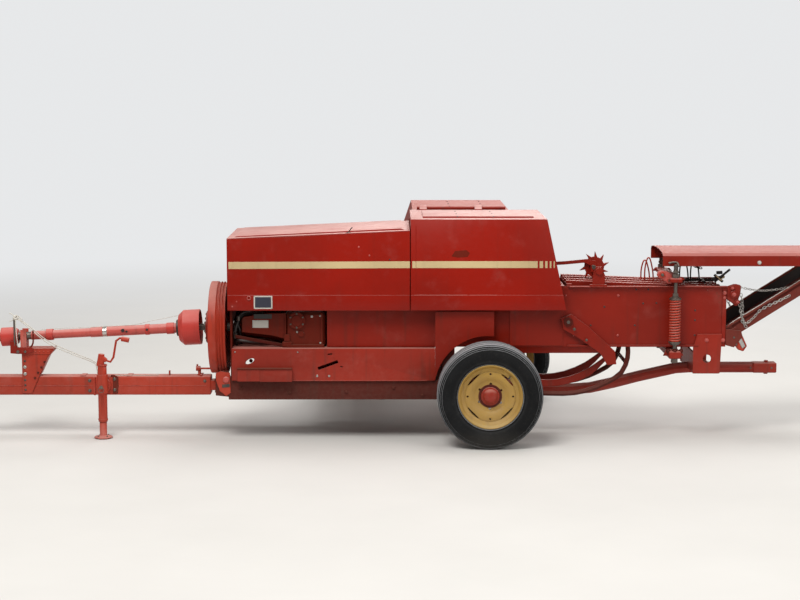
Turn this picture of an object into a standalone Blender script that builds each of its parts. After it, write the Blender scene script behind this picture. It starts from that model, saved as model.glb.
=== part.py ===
"""Small square baler, towed, parked on its drawbar jack.

X runs rearwards from the left wheel's axle, -Y is the baler's left side and +Z is up.
Everything hangs on one empty, which sets the model's origin on the ground below its middle.
"""
import math

import bmesh
import bpy
from mathutils import Matrix, Vector

# Clearances
GAP = 0.0003
RUN_GAP = 0.0006
SHEET = 0.004
PANEL_GAP = 0.0055
PLATE = 0.006
TWELFTH = math.cos(math.pi / 12)

# Bale case
CASE_HALF = 0.245
CASE_Z0 = 0.616
CASE_Z1 = 1.018
CASE_DECK = 1.016
CASE_X0 = -1.055
CASE_X1 = 1.557
CASE_TOP_X1 = 0.500
CASE_FLANGE = 0.034
FEED_X0 = -0.470
FEED_X1 = 0.060
FEED_Z0 = 0.690
FEED_Z1 = 0.980

# Chassis
RAIL_X0 = -1.700
RAIL_X1 = 0.100
RAIL_Z0 = 0.273
RAIL_H = 0.125
RAIL_Y = 0.245
RAIL_W = 0.080
BOX_HALF = 0.300
BOX_X0 = -1.676
BOX_Z1 = 0.612

# Wheels
L_TYRE_R = 0.343
BOX_X1 = -(L_TYRE_R + 0.005)
L_TYRE_W = 0.235
L_WHEEL_Y = -0.500
L_RIM_R = 0.208
R_TYRE_R = 0.310
R_TYRE_W = 0.180
R_WHEEL_X = 0.226
R_WHEEL_Y = 1.220
R_RIM_R = 0.188
SPINDLE_R = 0.024
AXLE_SIDE = 0.076
WHEEL_STEPS = 24

# Flywheel and driveline
DRIVE_Y = -0.080
DRIVE_Z = 0.725
FLY_R = 0.305
FLY_X0 = -1.825
FLY_W = 0.113
JOINT_X = -1.930
JOINT_BALL_R = 0.014
SHIELD_TILT = 2.97
SHIELD_R = 0.033
YOKE_START = 1.095
YOKE_R = 0.026
BELL_R = 0.117

# Tongue
TONGUE_PIVOT_X = -1.760
TONGUE_X0 = -3.300
TONGUE_X1 = -1.832
TONGUE_W = 0.100
TONGUE_Z0 = 0.276
TONGUE_H = 0.126
TONGUE_PIN_R = 0.020

# Jack
JACK_X = -2.540
JACK_Y = -0.200
JACK_R = 0.030
JACK_WALL = 0.005
JACK_Z0 = 0.112
JACK_Z1 = 0.490
JACK_LEG_TOP = 0.370
JACK_PIVOT_Z = 0.345
JACK_PIN_R = 0.018
FOOT_R = 0.062

# Hoods
HOOD_Y = -0.340
HOOD_Z0 = 0.869
HOOD_SPLIT_X = -0.508
HOOD_FAR_Y = 0.480
KNOT_Z1 = 1.461
KNOT_TOP_X1 = 0.373
KNOT_LOW_X1 = 0.503
FRONT_X0 = -1.697
FRONT_Z0 = 1.338
FRONT_Z1 = 1.390
TWINE_FAR_Y = 0.440
LID_T = 0.005
RAIL_ROD_R = 0.012

# Feeder housing and pickup
HOUSE_X0 = -0.490
HOUSE_X1 = 0.174
HOUSE_Y1 = 1.430
HOUSE_Z0 = 0.660
PICK_Y0 = 0.380
PICK_Y1 = 1.840
PICK_PIVOT_X = -0.620
PICK_PIVOT_Z = 0.600
REEL_X = -0.900
REEL_Z = 0.400
REEL_TINE_R = 0.270
BAND_R = 0.205
BAND_PITCH = 0.180
GAUGE_X = -1.000
GAUGE_Z = 0.320
GAUGE_R = 0.190

# Chute
CHUTE_ANGLE = 32.3
CHUTE_X0 = 1.603
CHUTE_Z0 = 0.672
CHUTE_LEN = 0.790
CHUTE_HALF = 0.225
CHUTE_WALL_H = 0.085
EXT_LEN = 1.135
EXT_HALF = 0.270
EXT_WALL_H = 0.066
EXT_CROWN = 0.032
HINGE_OUT = 0.0329
HINGE_UP = 0.0571
CHUTE_RUN = math.cos(math.radians(CHUTE_ANGLE))
CHUTE_RISE = math.sin(math.radians(CHUTE_ANGLE))
EXT_HINGE_X = CHUTE_X0 + (CHUTE_LEN + HINGE_OUT) * CHUTE_RUN - HINGE_UP * CHUTE_RISE
EXT_HINGE_Z = CHUTE_Z0 + (CHUTE_LEN + HINGE_OUT) * CHUTE_RISE + HINGE_UP * CHUTE_RUN
EXT_PIN_R = 0.010

# Star wheel
STAR_X = 0.717
STAR_Z = 1.120
STAR_R = 0.066
STAR_TIP_R = 0.100
STAR_TEETH = 10
STAR_PIN_R = 0.012

# Tension gear
TENSION_X = 1.212
TENSION_Y = CASE_HALF + 0.070
SPRING_Z0 = 0.662
SPRING_Z1 = 0.937
SPRING_R = 0.038
SPRING_TURNS = 10

# Needles and wagon hitch
NEEDLE_PIVOT_X = 0.521
NEEDLE_PIVOT_Z = 0.785
HITCH_R = 0.037
HITCH_X1 = 1.944
HITCH_Z = 0.440


def purge():
    for obj in list(bpy.data.objects):
        bpy.data.objects.remove(obj, do_unlink=True)


def collection(name):
    group = bpy.data.collections.get(name)
    if group is None:
        group = bpy.data.collections.new(name)
        bpy.context.scene.collection.children.link(group)
    return group


def material(name, colour, roughness, metallic=0.0):
    mat = bpy.data.materials.get(name)
    if mat is None:
        mat = bpy.data.materials.new(name)
        mat.use_nodes = True
        shader = mat.node_tree.nodes["Principled BSDF"]
        shader.inputs["Base Color"].default_value = (*colour, 1.0)
        shader.inputs["Roughness"].default_value = roughness
        shader.inputs["Metallic"].default_value = metallic
        mat.diffuse_color = (*colour, 1.0)
    return mat


def red_paint():
    return material("red_paint", (0.42, 0.030, 0.014), 0.42)


def dark_red_paint():
    return material("dark_red_paint", (0.20, 0.022, 0.014), 0.55)


def yellow_paint():
    return material("yellow_paint", (0.62, 0.42, 0.09), 0.5)


def tyre_rubber():
    return material("tyre_rubber", (0.022, 0.024, 0.028), 0.8)


def bare_steel():
    return material("bare_steel", (0.33, 0.31, 0.29), 0.4, 1.0)


def black_paint():
    return material("black_paint", (0.02, 0.019, 0.019), 0.55)


def link(obj, name, mat=None, group="square_baler_parts"):
    obj.name = name
    obj.data.name = name
    if obj.name not in collection(group).objects:
        collection(group).objects.link(obj)
    if mat is not None:
        obj.data.materials.clear()
        obj.data.materials.append(mat)
    return obj


def from_bmesh(bm, name="piece"):
    mesh = bpy.data.meshes.new(name)
    bm.to_mesh(mesh)
    bm.free()
    obj = bpy.data.objects.new(name, mesh)
    collection("square_baler_parts").objects.link(obj)
    return obj


def block(x0, x1, y0, y1, z0, z1, bevel=0.0):
    """Box between two corners."""
    bm = bmesh.new()
    bmesh.ops.create_cube(bm, size=1.0)
    bmesh.ops.scale(bm, vec=(x1 - x0, y1 - y0, z1 - z0), verts=bm.verts)
    bmesh.ops.translate(bm, vec=((x0 + x1) / 2, (y0 + y1) / 2, (z0 + z1) / 2), verts=bm.verts)
    if bevel > 0.0:
        bmesh.ops.bevel(bm, geom=bm.edges[:], offset=bevel, segments=1, affect="EDGES")
    return from_bmesh(bm)


AXIS_TURN = {
    "X": Matrix.Rotation(math.radians(90), 4, "Y"),
    "Y": Matrix.Rotation(math.radians(-90), 4, "X"),
    "Z": Matrix.Identity(4),
}


def rod(start, end, radius, sides=16, radius2=None):
    """Cylinder or cone between two points."""
    a = Vector(start)
    b = Vector(end)
    bm = bmesh.new()
    far = radius if radius2 is None else radius2
    bmesh.ops.create_cone(bm, cap_ends=True, segments=sides, radius1=radius, radius2=far, depth=(b - a).length)
    turn = (b - a).to_track_quat("Z", "Y").to_matrix().to_4x4()
    bmesh.ops.transform(bm, matrix=Matrix.Translation((a + b) / 2) @ turn, verts=bm.verts)
    return from_bmesh(bm)


def baked(obj):
    """Mesh object made from a curve or a modified object, which it replaces."""
    bpy.context.view_layer.update()
    deps = bpy.context.evaluated_depsgraph_get()
    mesh = bpy.data.meshes.new_from_object(obj.evaluated_get(deps))
    bm = bmesh.new()
    bm.from_mesh(mesh)
    bmesh.ops.remove_doubles(bm, verts=bm.verts, dist=0.00002)
    bmesh.ops.transform(bm, matrix=obj.matrix_world, verts=bm.verts)
    bm.to_mesh(mesh)
    bm.free()
    out = bpy.data.objects.new("baked", mesh)
    collection("square_baler_parts").objects.link(out)
    bpy.data.objects.remove(obj, do_unlink=True)
    return out


def outline(points, lo, hi, plane="XZ", holes=()):
    """Flat plate: an outline in one plane, as thick as lo to hi along the third axis.

    A hole is (u, v, radius).
    """
    curve = bpy.data.curves.new("outline", "CURVE")
    curve.dimensions = "2D"
    curve.fill_mode = "BOTH"
    curve.extrude = (hi - lo) / 2
    loops = [list(points)]
    for cu, cv, radius in holes:
        loops.append([
            (cu + radius * math.cos(math.tau * i / 12), cv + radius * math.sin(math.tau * i / 12))
            for i in range(12)
        ])
    for loop in loops:
        spline = curve.splines.new("POLY")
        spline.points.add(len(loop) - 1)
        for point, (u, v) in zip(spline.points, loop):
            point.co = (u, v, 0.0, 1.0)
        spline.use_cyclic_u = True
    obj = bpy.data.objects.new("outline", curve)
    collection("square_baler_parts").objects.link(obj)
    middle = (lo + hi) / 2
    if plane == "XZ":
        obj.matrix_world = Matrix.Translation((0, middle, 0)) @ Matrix.Rotation(math.radians(90), 4, "X")
    elif plane == "YZ":
        turn = Matrix(((0, 0, 1, 0), (1, 0, 0, 0), (0, 1, 0, 0), (0, 0, 0, 1)))
        obj.matrix_world = Matrix.Translation((middle, 0, 0)) @ turn
    else:
        obj.matrix_world = Matrix.Translation((0, 0, middle))
    return baked(obj)


def tube(points, radius, sides=10, closed=False):
    """Round bar along a polyline, as a bevelled curve with filled caps."""
    curve = bpy.data.curves.new("tube", "CURVE")
    curve.dimensions = "3D"
    curve.bevel_depth = radius
    curve.bevel_resolution = max(0, sides // 2 - 2)
    curve.use_fill_caps = not closed
    spline = curve.splines.new("POLY")
    spline.points.add(len(points) - 1)
    for point, co in zip(spline.points, points):
        point.co = (*co, 1.0)
    spline.use_cyclic_u = closed
    obj = bpy.data.objects.new("tube", curve)
    collection("square_baler_parts").objects.link(obj)
    return baked(obj)


def turned(profile, centre, axis="Y", steps=48):
    """Turned shape. The profile is a closed loop of (radius, height along the axis)."""
    bm = bmesh.new()
    verts = [bm.verts.new((max(r, 0.0), 0.0, h)) for r, h in profile]
    count = len(verts)
    for i in range(count):
        a = verts[i]
        b = verts[(i + 1) % count]
        if profile[i][0] > 0.0 or profile[(i + 1) % count][0] > 0.0:
            bm.edges.new((a, b))
    obj = from_bmesh(bm)
    screw = obj.modifiers.new("turn", "SCREW")
    screw.axis = "Z"
    screw.steps = steps
    screw.render_steps = steps
    screw.use_merge_vertices = True
    screw.merge_threshold = 0.00001
    screw.use_normal_calculate = False
    out = baked(obj)
    bm = bmesh.new()
    bm.from_mesh(out.data)
    bmesh.ops.recalc_face_normals(bm, faces=bm.faces[:])
    bmesh.ops.transform(bm, matrix=Matrix.Translation(centre) @ AXIS_TURN[axis], verts=bm.verts)
    bm.to_mesh(out.data)
    bm.free()
    return out


def fuse(pieces, cuts=()):
    """One solid from overlapping pieces, with the cutters taken away."""
    base = pieces[0]
    groups = []
    for label, members, operation in (("join", pieces[1:], "UNION"), ("cut", list(cuts), "DIFFERENCE")):
        if not members:
            continue
        group = bpy.data.collections.new(label)
        bpy.context.scene.collection.children.link(group)
        for member in members:
            for owner in list(member.users_collection):
                owner.objects.unlink(member)
            group.objects.link(member)
        mod = base.modifiers.new(label, "BOOLEAN")
        mod.operation = operation
        mod.solver = "EXACT"
        mod.operand_type = "COLLECTION"
        mod.collection = group
        groups.append((group, members))
    out = baked(base)
    for group, members in groups:
        for member in members:
            bpy.data.objects.remove(member, do_unlink=True)
        bpy.data.collections.remove(group)
    bm = bmesh.new()
    bm.from_mesh(out.data)
    bmesh.ops.dissolve_degenerate(bm, dist=0.00002, edges=bm.edges[:])
    bm.to_mesh(out.data)
    bm.free()
    return out


def sides_of(side, near, far):
    """Low and high bound of a band at near to far from the centre plane, on one side of it."""
    return (near, far) if side > 0 else (-far, -near)


def smooth(obj, angle=35):
    obj.data.shade_smooth()
    obj.data.set_sharp_from_angle(angle=math.radians(angle))
    return obj


def arc(cx, cz, radius, start, stop, steps):
    """Points of an arc in a plane, angles in degrees from the first axis."""
    return [
        (cx + radius * math.cos(math.radians(start + (stop - start) * i / steps)),
         cz + radius * math.sin(math.radians(start + (stop - start) * i / steps)))
        for i in range(steps + 1)
    ]


def curve_through(points, steps):
    """Smooth run of points through the given ones (Catmull-Rom)."""
    pts = [Vector(p) for p in points]
    pts = [pts[0] * 2 - pts[1]] + pts + [pts[-1] * 2 - pts[-2]]
    out = []
    for i in range(1, len(pts) - 2):
        p0, p1, p2, p3 = pts[i - 1:i + 3]
        for s in range(steps):
            t = s / steps
            out.append(0.5 * (2 * p1 + (p2 - p0) * t + (2 * p0 - 5 * p1 + 4 * p2 - p3) * t * t
                              + (3 * p1 - p0 - 3 * p2 + p3) * t ** 3))
    out.append(pts[-2])
    return [tuple(p) for p in out]


def bale_case():
    inner = CASE_HALF - PLATE
    low = CASE_Z0 + PLATE / 2
    left = outline(
        [(CASE_X0, CASE_Z0), (CASE_X1, CASE_Z0), (CASE_X1, CASE_Z1), (CASE_X0, CASE_Z1)],
        -CASE_HALF, -inner)
    right = outline(
        [(CASE_X0, CASE_Z0), (CASE_X1, CASE_Z0), (CASE_X1, CASE_Z1), (CASE_X0, CASE_Z1)],
        inner, CASE_HALF)
    floor = block(CASE_X0 + 0.002, CASE_X1 - 0.002, -inner - 0.002, inner + 0.002, CASE_Z0 + 0.002, low + PLATE)
    top = block(CASE_X0 + 0.002, CASE_TOP_X1, -inner - 0.002, inner + 0.002, CASE_DECK - PLATE, CASE_DECK)
    front = block(CASE_X0 + 0.001, CASE_X0 + PLATE, -inner - 0.002, inner + 0.002, CASE_Z0 + 0.004, CASE_Z1 - 0.004)
    pieces = [left, right, floor, top, front]
    for side in (-1, 1):
        y = side * (CASE_HALF + CASE_FLANGE / 2 - 0.002)
        pieces.append(block(CASE_TOP_X1 + 0.03, CASE_X1 - 0.010, y - CASE_FLANGE / 2, y + CASE_FLANGE / 2,
                            CASE_Z1 - PLATE, CASE_Z1 - 0.001))
        doubler = (-CASE_HALF - PLATE, -CASE_HALF + 0.002) if side < 0 else (CASE_HALF - 0.002, CASE_HALF + PLATE)
        pieces.append(block(0.142, 0.490, *doubler, CASE_Z0 + 0.008, 0.862))
        pieces.append(block(0.110, 0.760, *sides_of(side, CASE_HALF - 0.045, CASE_HALF - 0.0015), CASE_Z0 - 0.042, CASE_Z0 + 0.004))
    feed = block(FEED_X0, FEED_X1, CASE_HALF - 0.05, CASE_HALF + 0.05, FEED_Z0, FEED_Z1)
    slots = [block(0.010, 0.300, y - 0.022, y + 0.022, CASE_Z0 - 0.05, CASE_Z0 + 0.05) for y in (-0.115, 0.115)]
    return link(fuse(pieces, [feed] + slots), "bale_case", red_paint())


def main_frame():
    z1 = RAIL_Z0 + RAIL_H
    pieces = []
    for side in (-1, 1):
        y = side * RAIL_Y
        pieces.append(block(RAIL_X0, RAIL_X1, y - RAIL_W / 2, y + RAIL_W / 2, RAIL_Z0, z1))
    inner = RAIL_Y - RAIL_W / 2
    for x, width in ((RAIL_X0 + 0.002, 0.080), (-0.860, 0.060)):
        pieces.append(block(x, x + width, -inner - 0.01, inner + 0.01, RAIL_Z0 + 0.003, z1 - 0.003))
    half = AXLE_SIDE / 2
    pieces.append(block(-half, half, L_WHEEL_Y + L_TYRE_W / 2 + 0.030, R_WHEEL_Y - R_TYRE_W / 2 - 0.070,
                        L_TYRE_R - half, L_TYRE_R + half))
    pieces.append(rod((0, L_WHEEL_Y + L_TYRE_W / 2 + 0.06, L_TYRE_R), (0, L_WHEEL_Y - 0.060, L_TYRE_R), SPINDLE_R, 12))
    arm_y = R_WHEEL_Y - R_TYRE_W / 2 - 0.075
    pieces.append(outline([(-0.055, L_TYRE_R - 0.045), (R_WHEEL_X + 0.045, R_TYRE_R - 0.045),
                           (R_WHEEL_X + 0.045, R_TYRE_R + 0.045), (-0.055, L_TYRE_R + 0.045)],
                          arm_y - 0.010, arm_y + 0.012))
    pieces.append(rod((R_WHEEL_X, arm_y, R_TYRE_R), (R_WHEEL_X, R_WHEEL_Y + 0.045, R_TYRE_R), SPINDLE_R, 12))
    for z in (0.293, 0.372):
        pieces.append(block(TONGUE_PIVOT_X - 0.045, RAIL_X0 + 0.01, DRIVE_Y - 0.060, DRIVE_Y + 0.060, z, z + 0.012))
    pieces.append(rod((TONGUE_PIVOT_X, DRIVE_Y, 0.280), (TONGUE_PIVOT_X, DRIVE_Y, 0.392), TONGUE_PIN_R, 12))
    pieces.append(outline([(-1.785, 0.300), (-1.692, 0.290), (-1.688, 0.330), (-1.688, 0.430),
                           (-1.700, 0.462), (-1.765, 0.462), (-1.785, 0.430)],
                          -RAIL_Y - RAIL_W / 2 + 0.001, -RAIL_Y - RAIL_W / 2 + 0.013))
    pieces.append(block(-1.699, -1.688, -RAIL_Y - RAIL_W / 2 + 0.002, -RAIL_Y - RAIL_W / 2 + 0.012, 0.300, 0.380))
    return link(fuse(pieces), "main_frame", dark_red_paint())


def case_stand(name, x0, x1):
    """Saddle that carries the bale case on the rails."""
    z0 = RAIL_Z0 + RAIL_H + GAP
    z1 = CASE_Z0 - GAP
    y = RAIL_Y
    pieces = [block(x0, x1, -y - 0.030, -y + 0.010, z0, z1), block(x0, x1, y - 0.010, y + 0.030, z0, z1),
              block(x0 + 0.004, x1 - 0.004, -y, y, z1 - 0.050, z1 - 0.002)]
    reach = AXLE_SIDE / 2 + GAP
    round_axle = block(-reach, reach, -y - 0.1, y + 0.1, L_TYRE_R - reach, L_TYRE_R + reach)
    return link(fuse(pieces, [round_axle]), name, dark_red_paint())


def front_box():
    """Folded pan under the gearbox, open below, with the step on its left side."""
    z0 = RAIL_Z0 + RAIL_H + 0.003
    half = BOX_HALF
    shell = block(BOX_X0, BOX_X1, -half, half, z0, BOX_Z1)
    hollow = block(BOX_X0 + SHEET, BOX_X1 - SHEET, -half + SHEET, half - SHEET, z0 - 0.05, BOX_Z1 - SHEET)
    tail = block(BOX_X1 - 0.02, BOX_X1 + 0.02, -half + SHEET, half - SHEET, z0 - 0.05, BOX_Z1 - SHEET)
    step = block(-1.490, -1.281, -half - 0.045, -half + 0.002, 0.401, 0.484)
    pieces = [shell, step]
    for side in (-1, 1):
        pieces.append(block(BOX_X0 + 0.05, BOX_X1 - 0.05, side * (RAIL_Y + 0.0005) - 0.020, side * (RAIL_Y + 0.0005) + 0.020,
                            RAIL_Z0 + RAIL_H + GAP, RAIL_Z0 + RAIL_H + GAP + SHEET))
        pieces.append(block(BOX_X0 + 0.05, BOX_X1 - 0.05, side * (RAIL_Y + 0.034) - 0.024, side * (RAIL_Y + 0.034) + 0.024,
                            RAIL_Z0 + RAIL_H + GAP, RAIL_Z0 + RAIL_H + GAP + SHEET))
    base = fuse([shell, step], [hollow, tail])
    return link(fuse([base] + pieces[2:]), "front_box", red_paint())


def arch_panel():
    """Left panel ahead of the wheel, with a rolled flange round its arch."""
    y0 = -BOX_HALF
    arch_r = L_TYRE_R + 0.009
    x1 = 0.045
    x0 = BOX_X1 + GAP
    z0 = 0.401
    edge = arc(0.0, L_TYRE_R, arch_r, 84.0, 166.0, 12)
    plate = outline([(edge[0][0], 0.857), (x0, 0.857), (x0, z0)] + [(p[0], max(p[1], z0)) for p in edge[::-1]], y0, y0 + SHEET)
    outer = arc(0.0, L_TYRE_R, arch_r + 0.0045, 84.0, 166.0, 12)
    flange = outline(edge + outer[::-1], y0 + 0.001, y0 + 0.022)
    back = block(x0 + 0.010, x0 + 0.014, y0 + 0.002, -CASE_HALF - GAP, CASE_Z0 + 0.02, 0.850)
    return link(fuse([plate, flange, back]), "arch_panel", red_paint())


def gearbox():
    y = DRIVE_Y
    z = DRIVE_Z
    z0 = BOX_Z1 + GAP
    shell = block(-1.330, CASE_X0 - 0.012, y - 0.150, y + 0.150, z0, 0.842, bevel=0.018)
    neck = turned([(0.0, -1.640), (0.052, -1.640), (0.060, -1.560), (0.085, -1.400), (0.100, -1.320), (0.0, -1.320)],
                  (0, y, z), "X", 16)
    boss = rod((-1.253, y - 0.145, 0.795), (-1.253, y - 0.168, 0.795), 0.052, 14)
    foot = block(-1.320, CASE_X0 - 0.020, y - 0.170, y + 0.170, z0, z0 + 0.018)
    rib = outline([(-1.620, 0.690), (-1.300, 0.690), (-1.300, z0 + 0.01), (-1.340, z0 + 0.01)], y - 0.008, y + 0.008)
    plug = rod((-1.225, y - 0.145, 0.700), (-1.225, y - 0.160, 0.700), 0.020, 8)
    return link(smooth(fuse([shell, neck, boss, foot, rib, plug])), "gearbox", red_paint())


def input_shaft():
    shaft = rod((-1.6403, DRIVE_Y, DRIVE_Z), (FLY_X0 + 0.030, DRIVE_Y, DRIVE_Z), 0.028, 16)
    return link(smooth(shaft), "input_shaft", bare_steel())


def front_bulkhead():
    z0 = RAIL_Z0 + RAIL_H + GAP
    plate = outline([(-0.285, z0), (0.285, z0), (0.285, 1.000), (0.200, 1.026), (-0.250, 1.026), (-0.285, 1.000)],
                    BOX_X0 - 0.0083, BOX_X0 - GAP, "YZ", holes=((DRIVE_Y, DRIVE_Z, 0.062),))
    return link(plate, "front_bulkhead", dark_red_paint())


def twine_box():
    """Open-topped box ahead of the knotters, its rim sloped like the lid."""
    x0 = FRONT_X0 + 0.006
    x1 = HOOD_SPLIT_X - 0.004
    y0 = HOOD_Y + 0.012
    y1 = TWINE_FAR_Y
    drop = LID_T + GAP
    z0 = 1.030
    shell = outline([(x0, z0), (x1, z0), (x1, FRONT_Z1 - drop), (x0, FRONT_Z0 - drop)], y0, y1)
    hollow = outline([(x0 + SHEET, z0 + SHEET), (x1 - SHEET, z0 + SHEET), (x1 - SHEET, 1.6), (x0 + SHEET, 1.6)],
                     y0 + SHEET, y1 - SHEET)
    feet = [block(CASE_X0 + 0.05, CASE_X0 + 0.10, -0.20, 0.20, CASE_DECK + GAP, z0 + 0.002),
            block(-0.60, -0.55, -0.20, 0.20, CASE_DECK + GAP, z0 + 0.002)]
    divider = block(-1.100, -1.096, y0 + 0.002, y1 - 0.002, z0 + 0.002, 1.290)
    slope = (FRONT_Z1 - FRONT_Z0) / (HOOD_SPLIT_X - FRONT_X0)
    tabs = []
    for x in (-1.560, -1.100, -0.640):
        top = FRONT_Z0 + slope * (x - FRONT_X0) - drop - 0.006
        tabs.append(block(x - 0.040, x + 0.040, HOOD_Y + SHEET + GAP, y0 + 0.002, top - 0.050, top))
    base = fuse([shell], [hollow])
    return link(fuse([base, divider] + feet + tabs), "twine_box", red_paint())


def twine_lid():
    x0 = FRONT_X0
    x1 = HOOD_SPLIT_X - PANEL_GAP
    lid = outline([(x0, FRONT_Z0 - LID_T), (x1, FRONT_Z1 - LID_T), (x1, FRONT_Z1), (x0, FRONT_Z0)],
                  HOOD_Y, TWINE_FAR_Y + 0.006)
    crown = outline([(x0 + 0.03, FRONT_Z0 - 0.002), (x1 - 0.03, FRONT_Z1 - 0.002), (x1 - 0.06, FRONT_Z1 + 0.008),
                     (x0 + 0.06, FRONT_Z0 + 0.010)], HOOD_Y + 0.06, TWINE_FAR_Y - 0.06)
    relief = outline([(x0 + 0.05, FRONT_Z0 - 0.03), (x1 - 0.05, FRONT_Z1 - 0.03), (x1 - 0.07, FRONT_Z1 + 0.004),
                      (x0 + 0.07, FRONT_Z0 + 0.006)], HOOD_Y + 0.064, TWINE_FAR_Y - 0.064)
    return link(fuse([lid, crown], [relief]), "twine_lid", red_paint())


def left_shield():
    """Hinged side shield over the gearbox, with a folded lower band."""
    x0 = FRONT_X0
    x1 = HOOD_SPLIT_X - PANEL_GAP
    drop = 0.0055
    panel = outline([(x0, HOOD_Z0), (x1, HOOD_Z0), (x1, FRONT_Z1 - drop), (x0, FRONT_Z0 - drop)], HOOD_Y, HOOD_Y + SHEET)
    band = block(x0 + 0.001, x1 - 0.001, HOOD_Y - 0.004, HOOD_Y + 0.002, HOOD_Z0 + 0.001, HOOD_Z0 + 0.100)
    hem = block(x0 + 0.001, x1 - 0.001, HOOD_Y - 0.003, HOOD_Y + 0.030, HOOD_Z0 - 0.0002, HOOD_Z0 + SHEET)
    front = outline([(HOOD_Y + 0.001, HOOD_Z0 + 0.002), (HOOD_Y + 0.060, HOOD_Z0 + 0.002), (HOOD_Y + 0.060, 1.020),
                     (HOOD_Y + 0.010, 1.040), (HOOD_Y + 0.010, 1.318), (HOOD_Y + 0.001, 1.318)],
                    x0 + 0.0005, x0 + 0.0045, "YZ")
    return link(fuse([panel, band, hem, front]), "left_shield", red_paint())


def knotter_hood():
    x0 = HOOD_SPLIT_X
    t = SHEET
    shell = outline([(x0, HOOD_Z0), (KNOT_LOW_X1, HOOD_Z0), (KNOT_TOP_X1, KNOT_Z1), (x0, KNOT_Z1)], HOOD_Y, HOOD_FAR_Y)
    slant = (KNOT_LOW_X1 - KNOT_TOP_X1) / (KNOT_Z1 - HOOD_Z0)
    zi = KNOT_Z1 - t
    hollow = outline([(x0 + t, HOOD_Z0 - 0.1), (KNOT_LOW_X1 - t + slant * 0.1, HOOD_Z0 - 0.1),
                      (KNOT_TOP_X1 - t + slant * t, zi), (x0 + t, zi)], HOOD_Y + t, HOOD_FAR_Y + 0.1)
    front_cut = block(x0 - 0.02, x0 + 0.02, HOOD_Y + 0.010, HOOD_FAR_Y + 0.1, HOOD_Z0 - 0.1, FRONT_Z1 - 0.020)
    rear_cut = block(KNOT_TOP_X1 - 0.02, KNOT_LOW_X1 + 0.05, HOOD_Y + 0.070, HOOD_FAR_Y + 0.1, HOOD_Z0 - 0.1, 1.215)
    base = fuse([shell], [hollow, front_cut, rear_cut])
    x1 = KNOT_LOW_X1 - slant * 0.1
    band = outline([(x0 + 0.001, HOOD_Z0 + 0.001), (KNOT_LOW_X1 - 0.001, HOOD_Z0 + 0.001), (x1 - 0.001, HOOD_Z0 + 0.100),
                    (x0 + 0.001, HOOD_Z0 + 0.100)], HOOD_Y - 0.004, HOOD_Y + 0.002)
    rib = block(x0 + 0.08, KNOT_TOP_X1 - 0.08, HOOD_Y + 0.12, HOOD_FAR_Y - 0.16, KNOT_Z1 - 0.002, KNOT_Z1 + 0.010)
    relief = block(x0 + 0.084, KNOT_TOP_X1 - 0.084, HOOD_Y + 0.124, HOOD_FAR_Y - 0.164, KNOT_Z1 - 0.05, KNOT_Z1 + 0.006)
    ry = HOOD_FAR_Y + 0.022
    rz = KNOT_Z1 + 0.010
    bore = RAIL_ROD_R + 0.0010
    tab = [(ry - 0.055, rz - 0.012), (ry - 0.024, rz - 0.012), (ry - 0.023, rz - 0.0085), (ry - bore, rz - 0.0085)]
    tab += arc(ry, rz, bore, 165, 90, 4) + arc(ry, rz, bore + 0.008, 90, 150, 3) + [(ry - 0.055, rz - 0.004)]
    tabs = [outline(tab, x, x + 0.050, "YZ") for x in (-0.440, -0.060)]
    return link(fuse([base, band, rib] + tabs, [relief]), "knotter_hood", red_paint())


def knotter(name, y):
    """One knotter head: twine disc, bill hook, frame arm and cam gear."""
    z = CASE_DECK + GAP
    x = 0.200
    base = block(x - 0.10, x + 0.10, y - 0.035, y + 0.035, z, z + 0.020)
    frame = outline([(x - 0.09, z + 0.01), (x + 0.06, z + 0.01), (x + 0.02, z + 0.16), (x - 0.05, z + 0.16)],
                    y - 0.030, y - 0.016)
    disc = rod((x + 0.045, y - 0.018, z + 0.075), (x + 0.045, y + 0.022, z + 0.075), 0.050, 12)
    hook = rod((x - 0.03, y - 0.02, z + 0.015), (x - 0.065, y + 0.018, z + 0.11), 0.011, 6)
    return link(fuse([base, frame, disc, hook]), name, bare_steel())


def knotter_shaft():
    z = CASE_DECK + 0.217
    x = 0.185
    shaft = rod((x, -0.295, z), (x, 0.250, z), 0.020, 8)
    cams = [rod((x, y - 0.020, z), (x, y + 0.020, z), 0.095, 16) for y in (-0.075, 0.155)]
    gear = rod((x, -0.290, z), (x, -0.262, z), 0.080, 14)
    legs = []
    for y in (-0.212, 0.212):
        legs.append(outline([(x - 0.05, CASE_DECK + GAP), (x + 0.05, CASE_DECK + GAP), (x + 0.03, z + 0.03), (x - 0.03, z + 0.03)],
                            y - 0.006, y + 0.006))
    return link(smooth(fuse([shaft] + cams + [gear] + legs)), "knotter_shaft", bare_steel())


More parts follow.
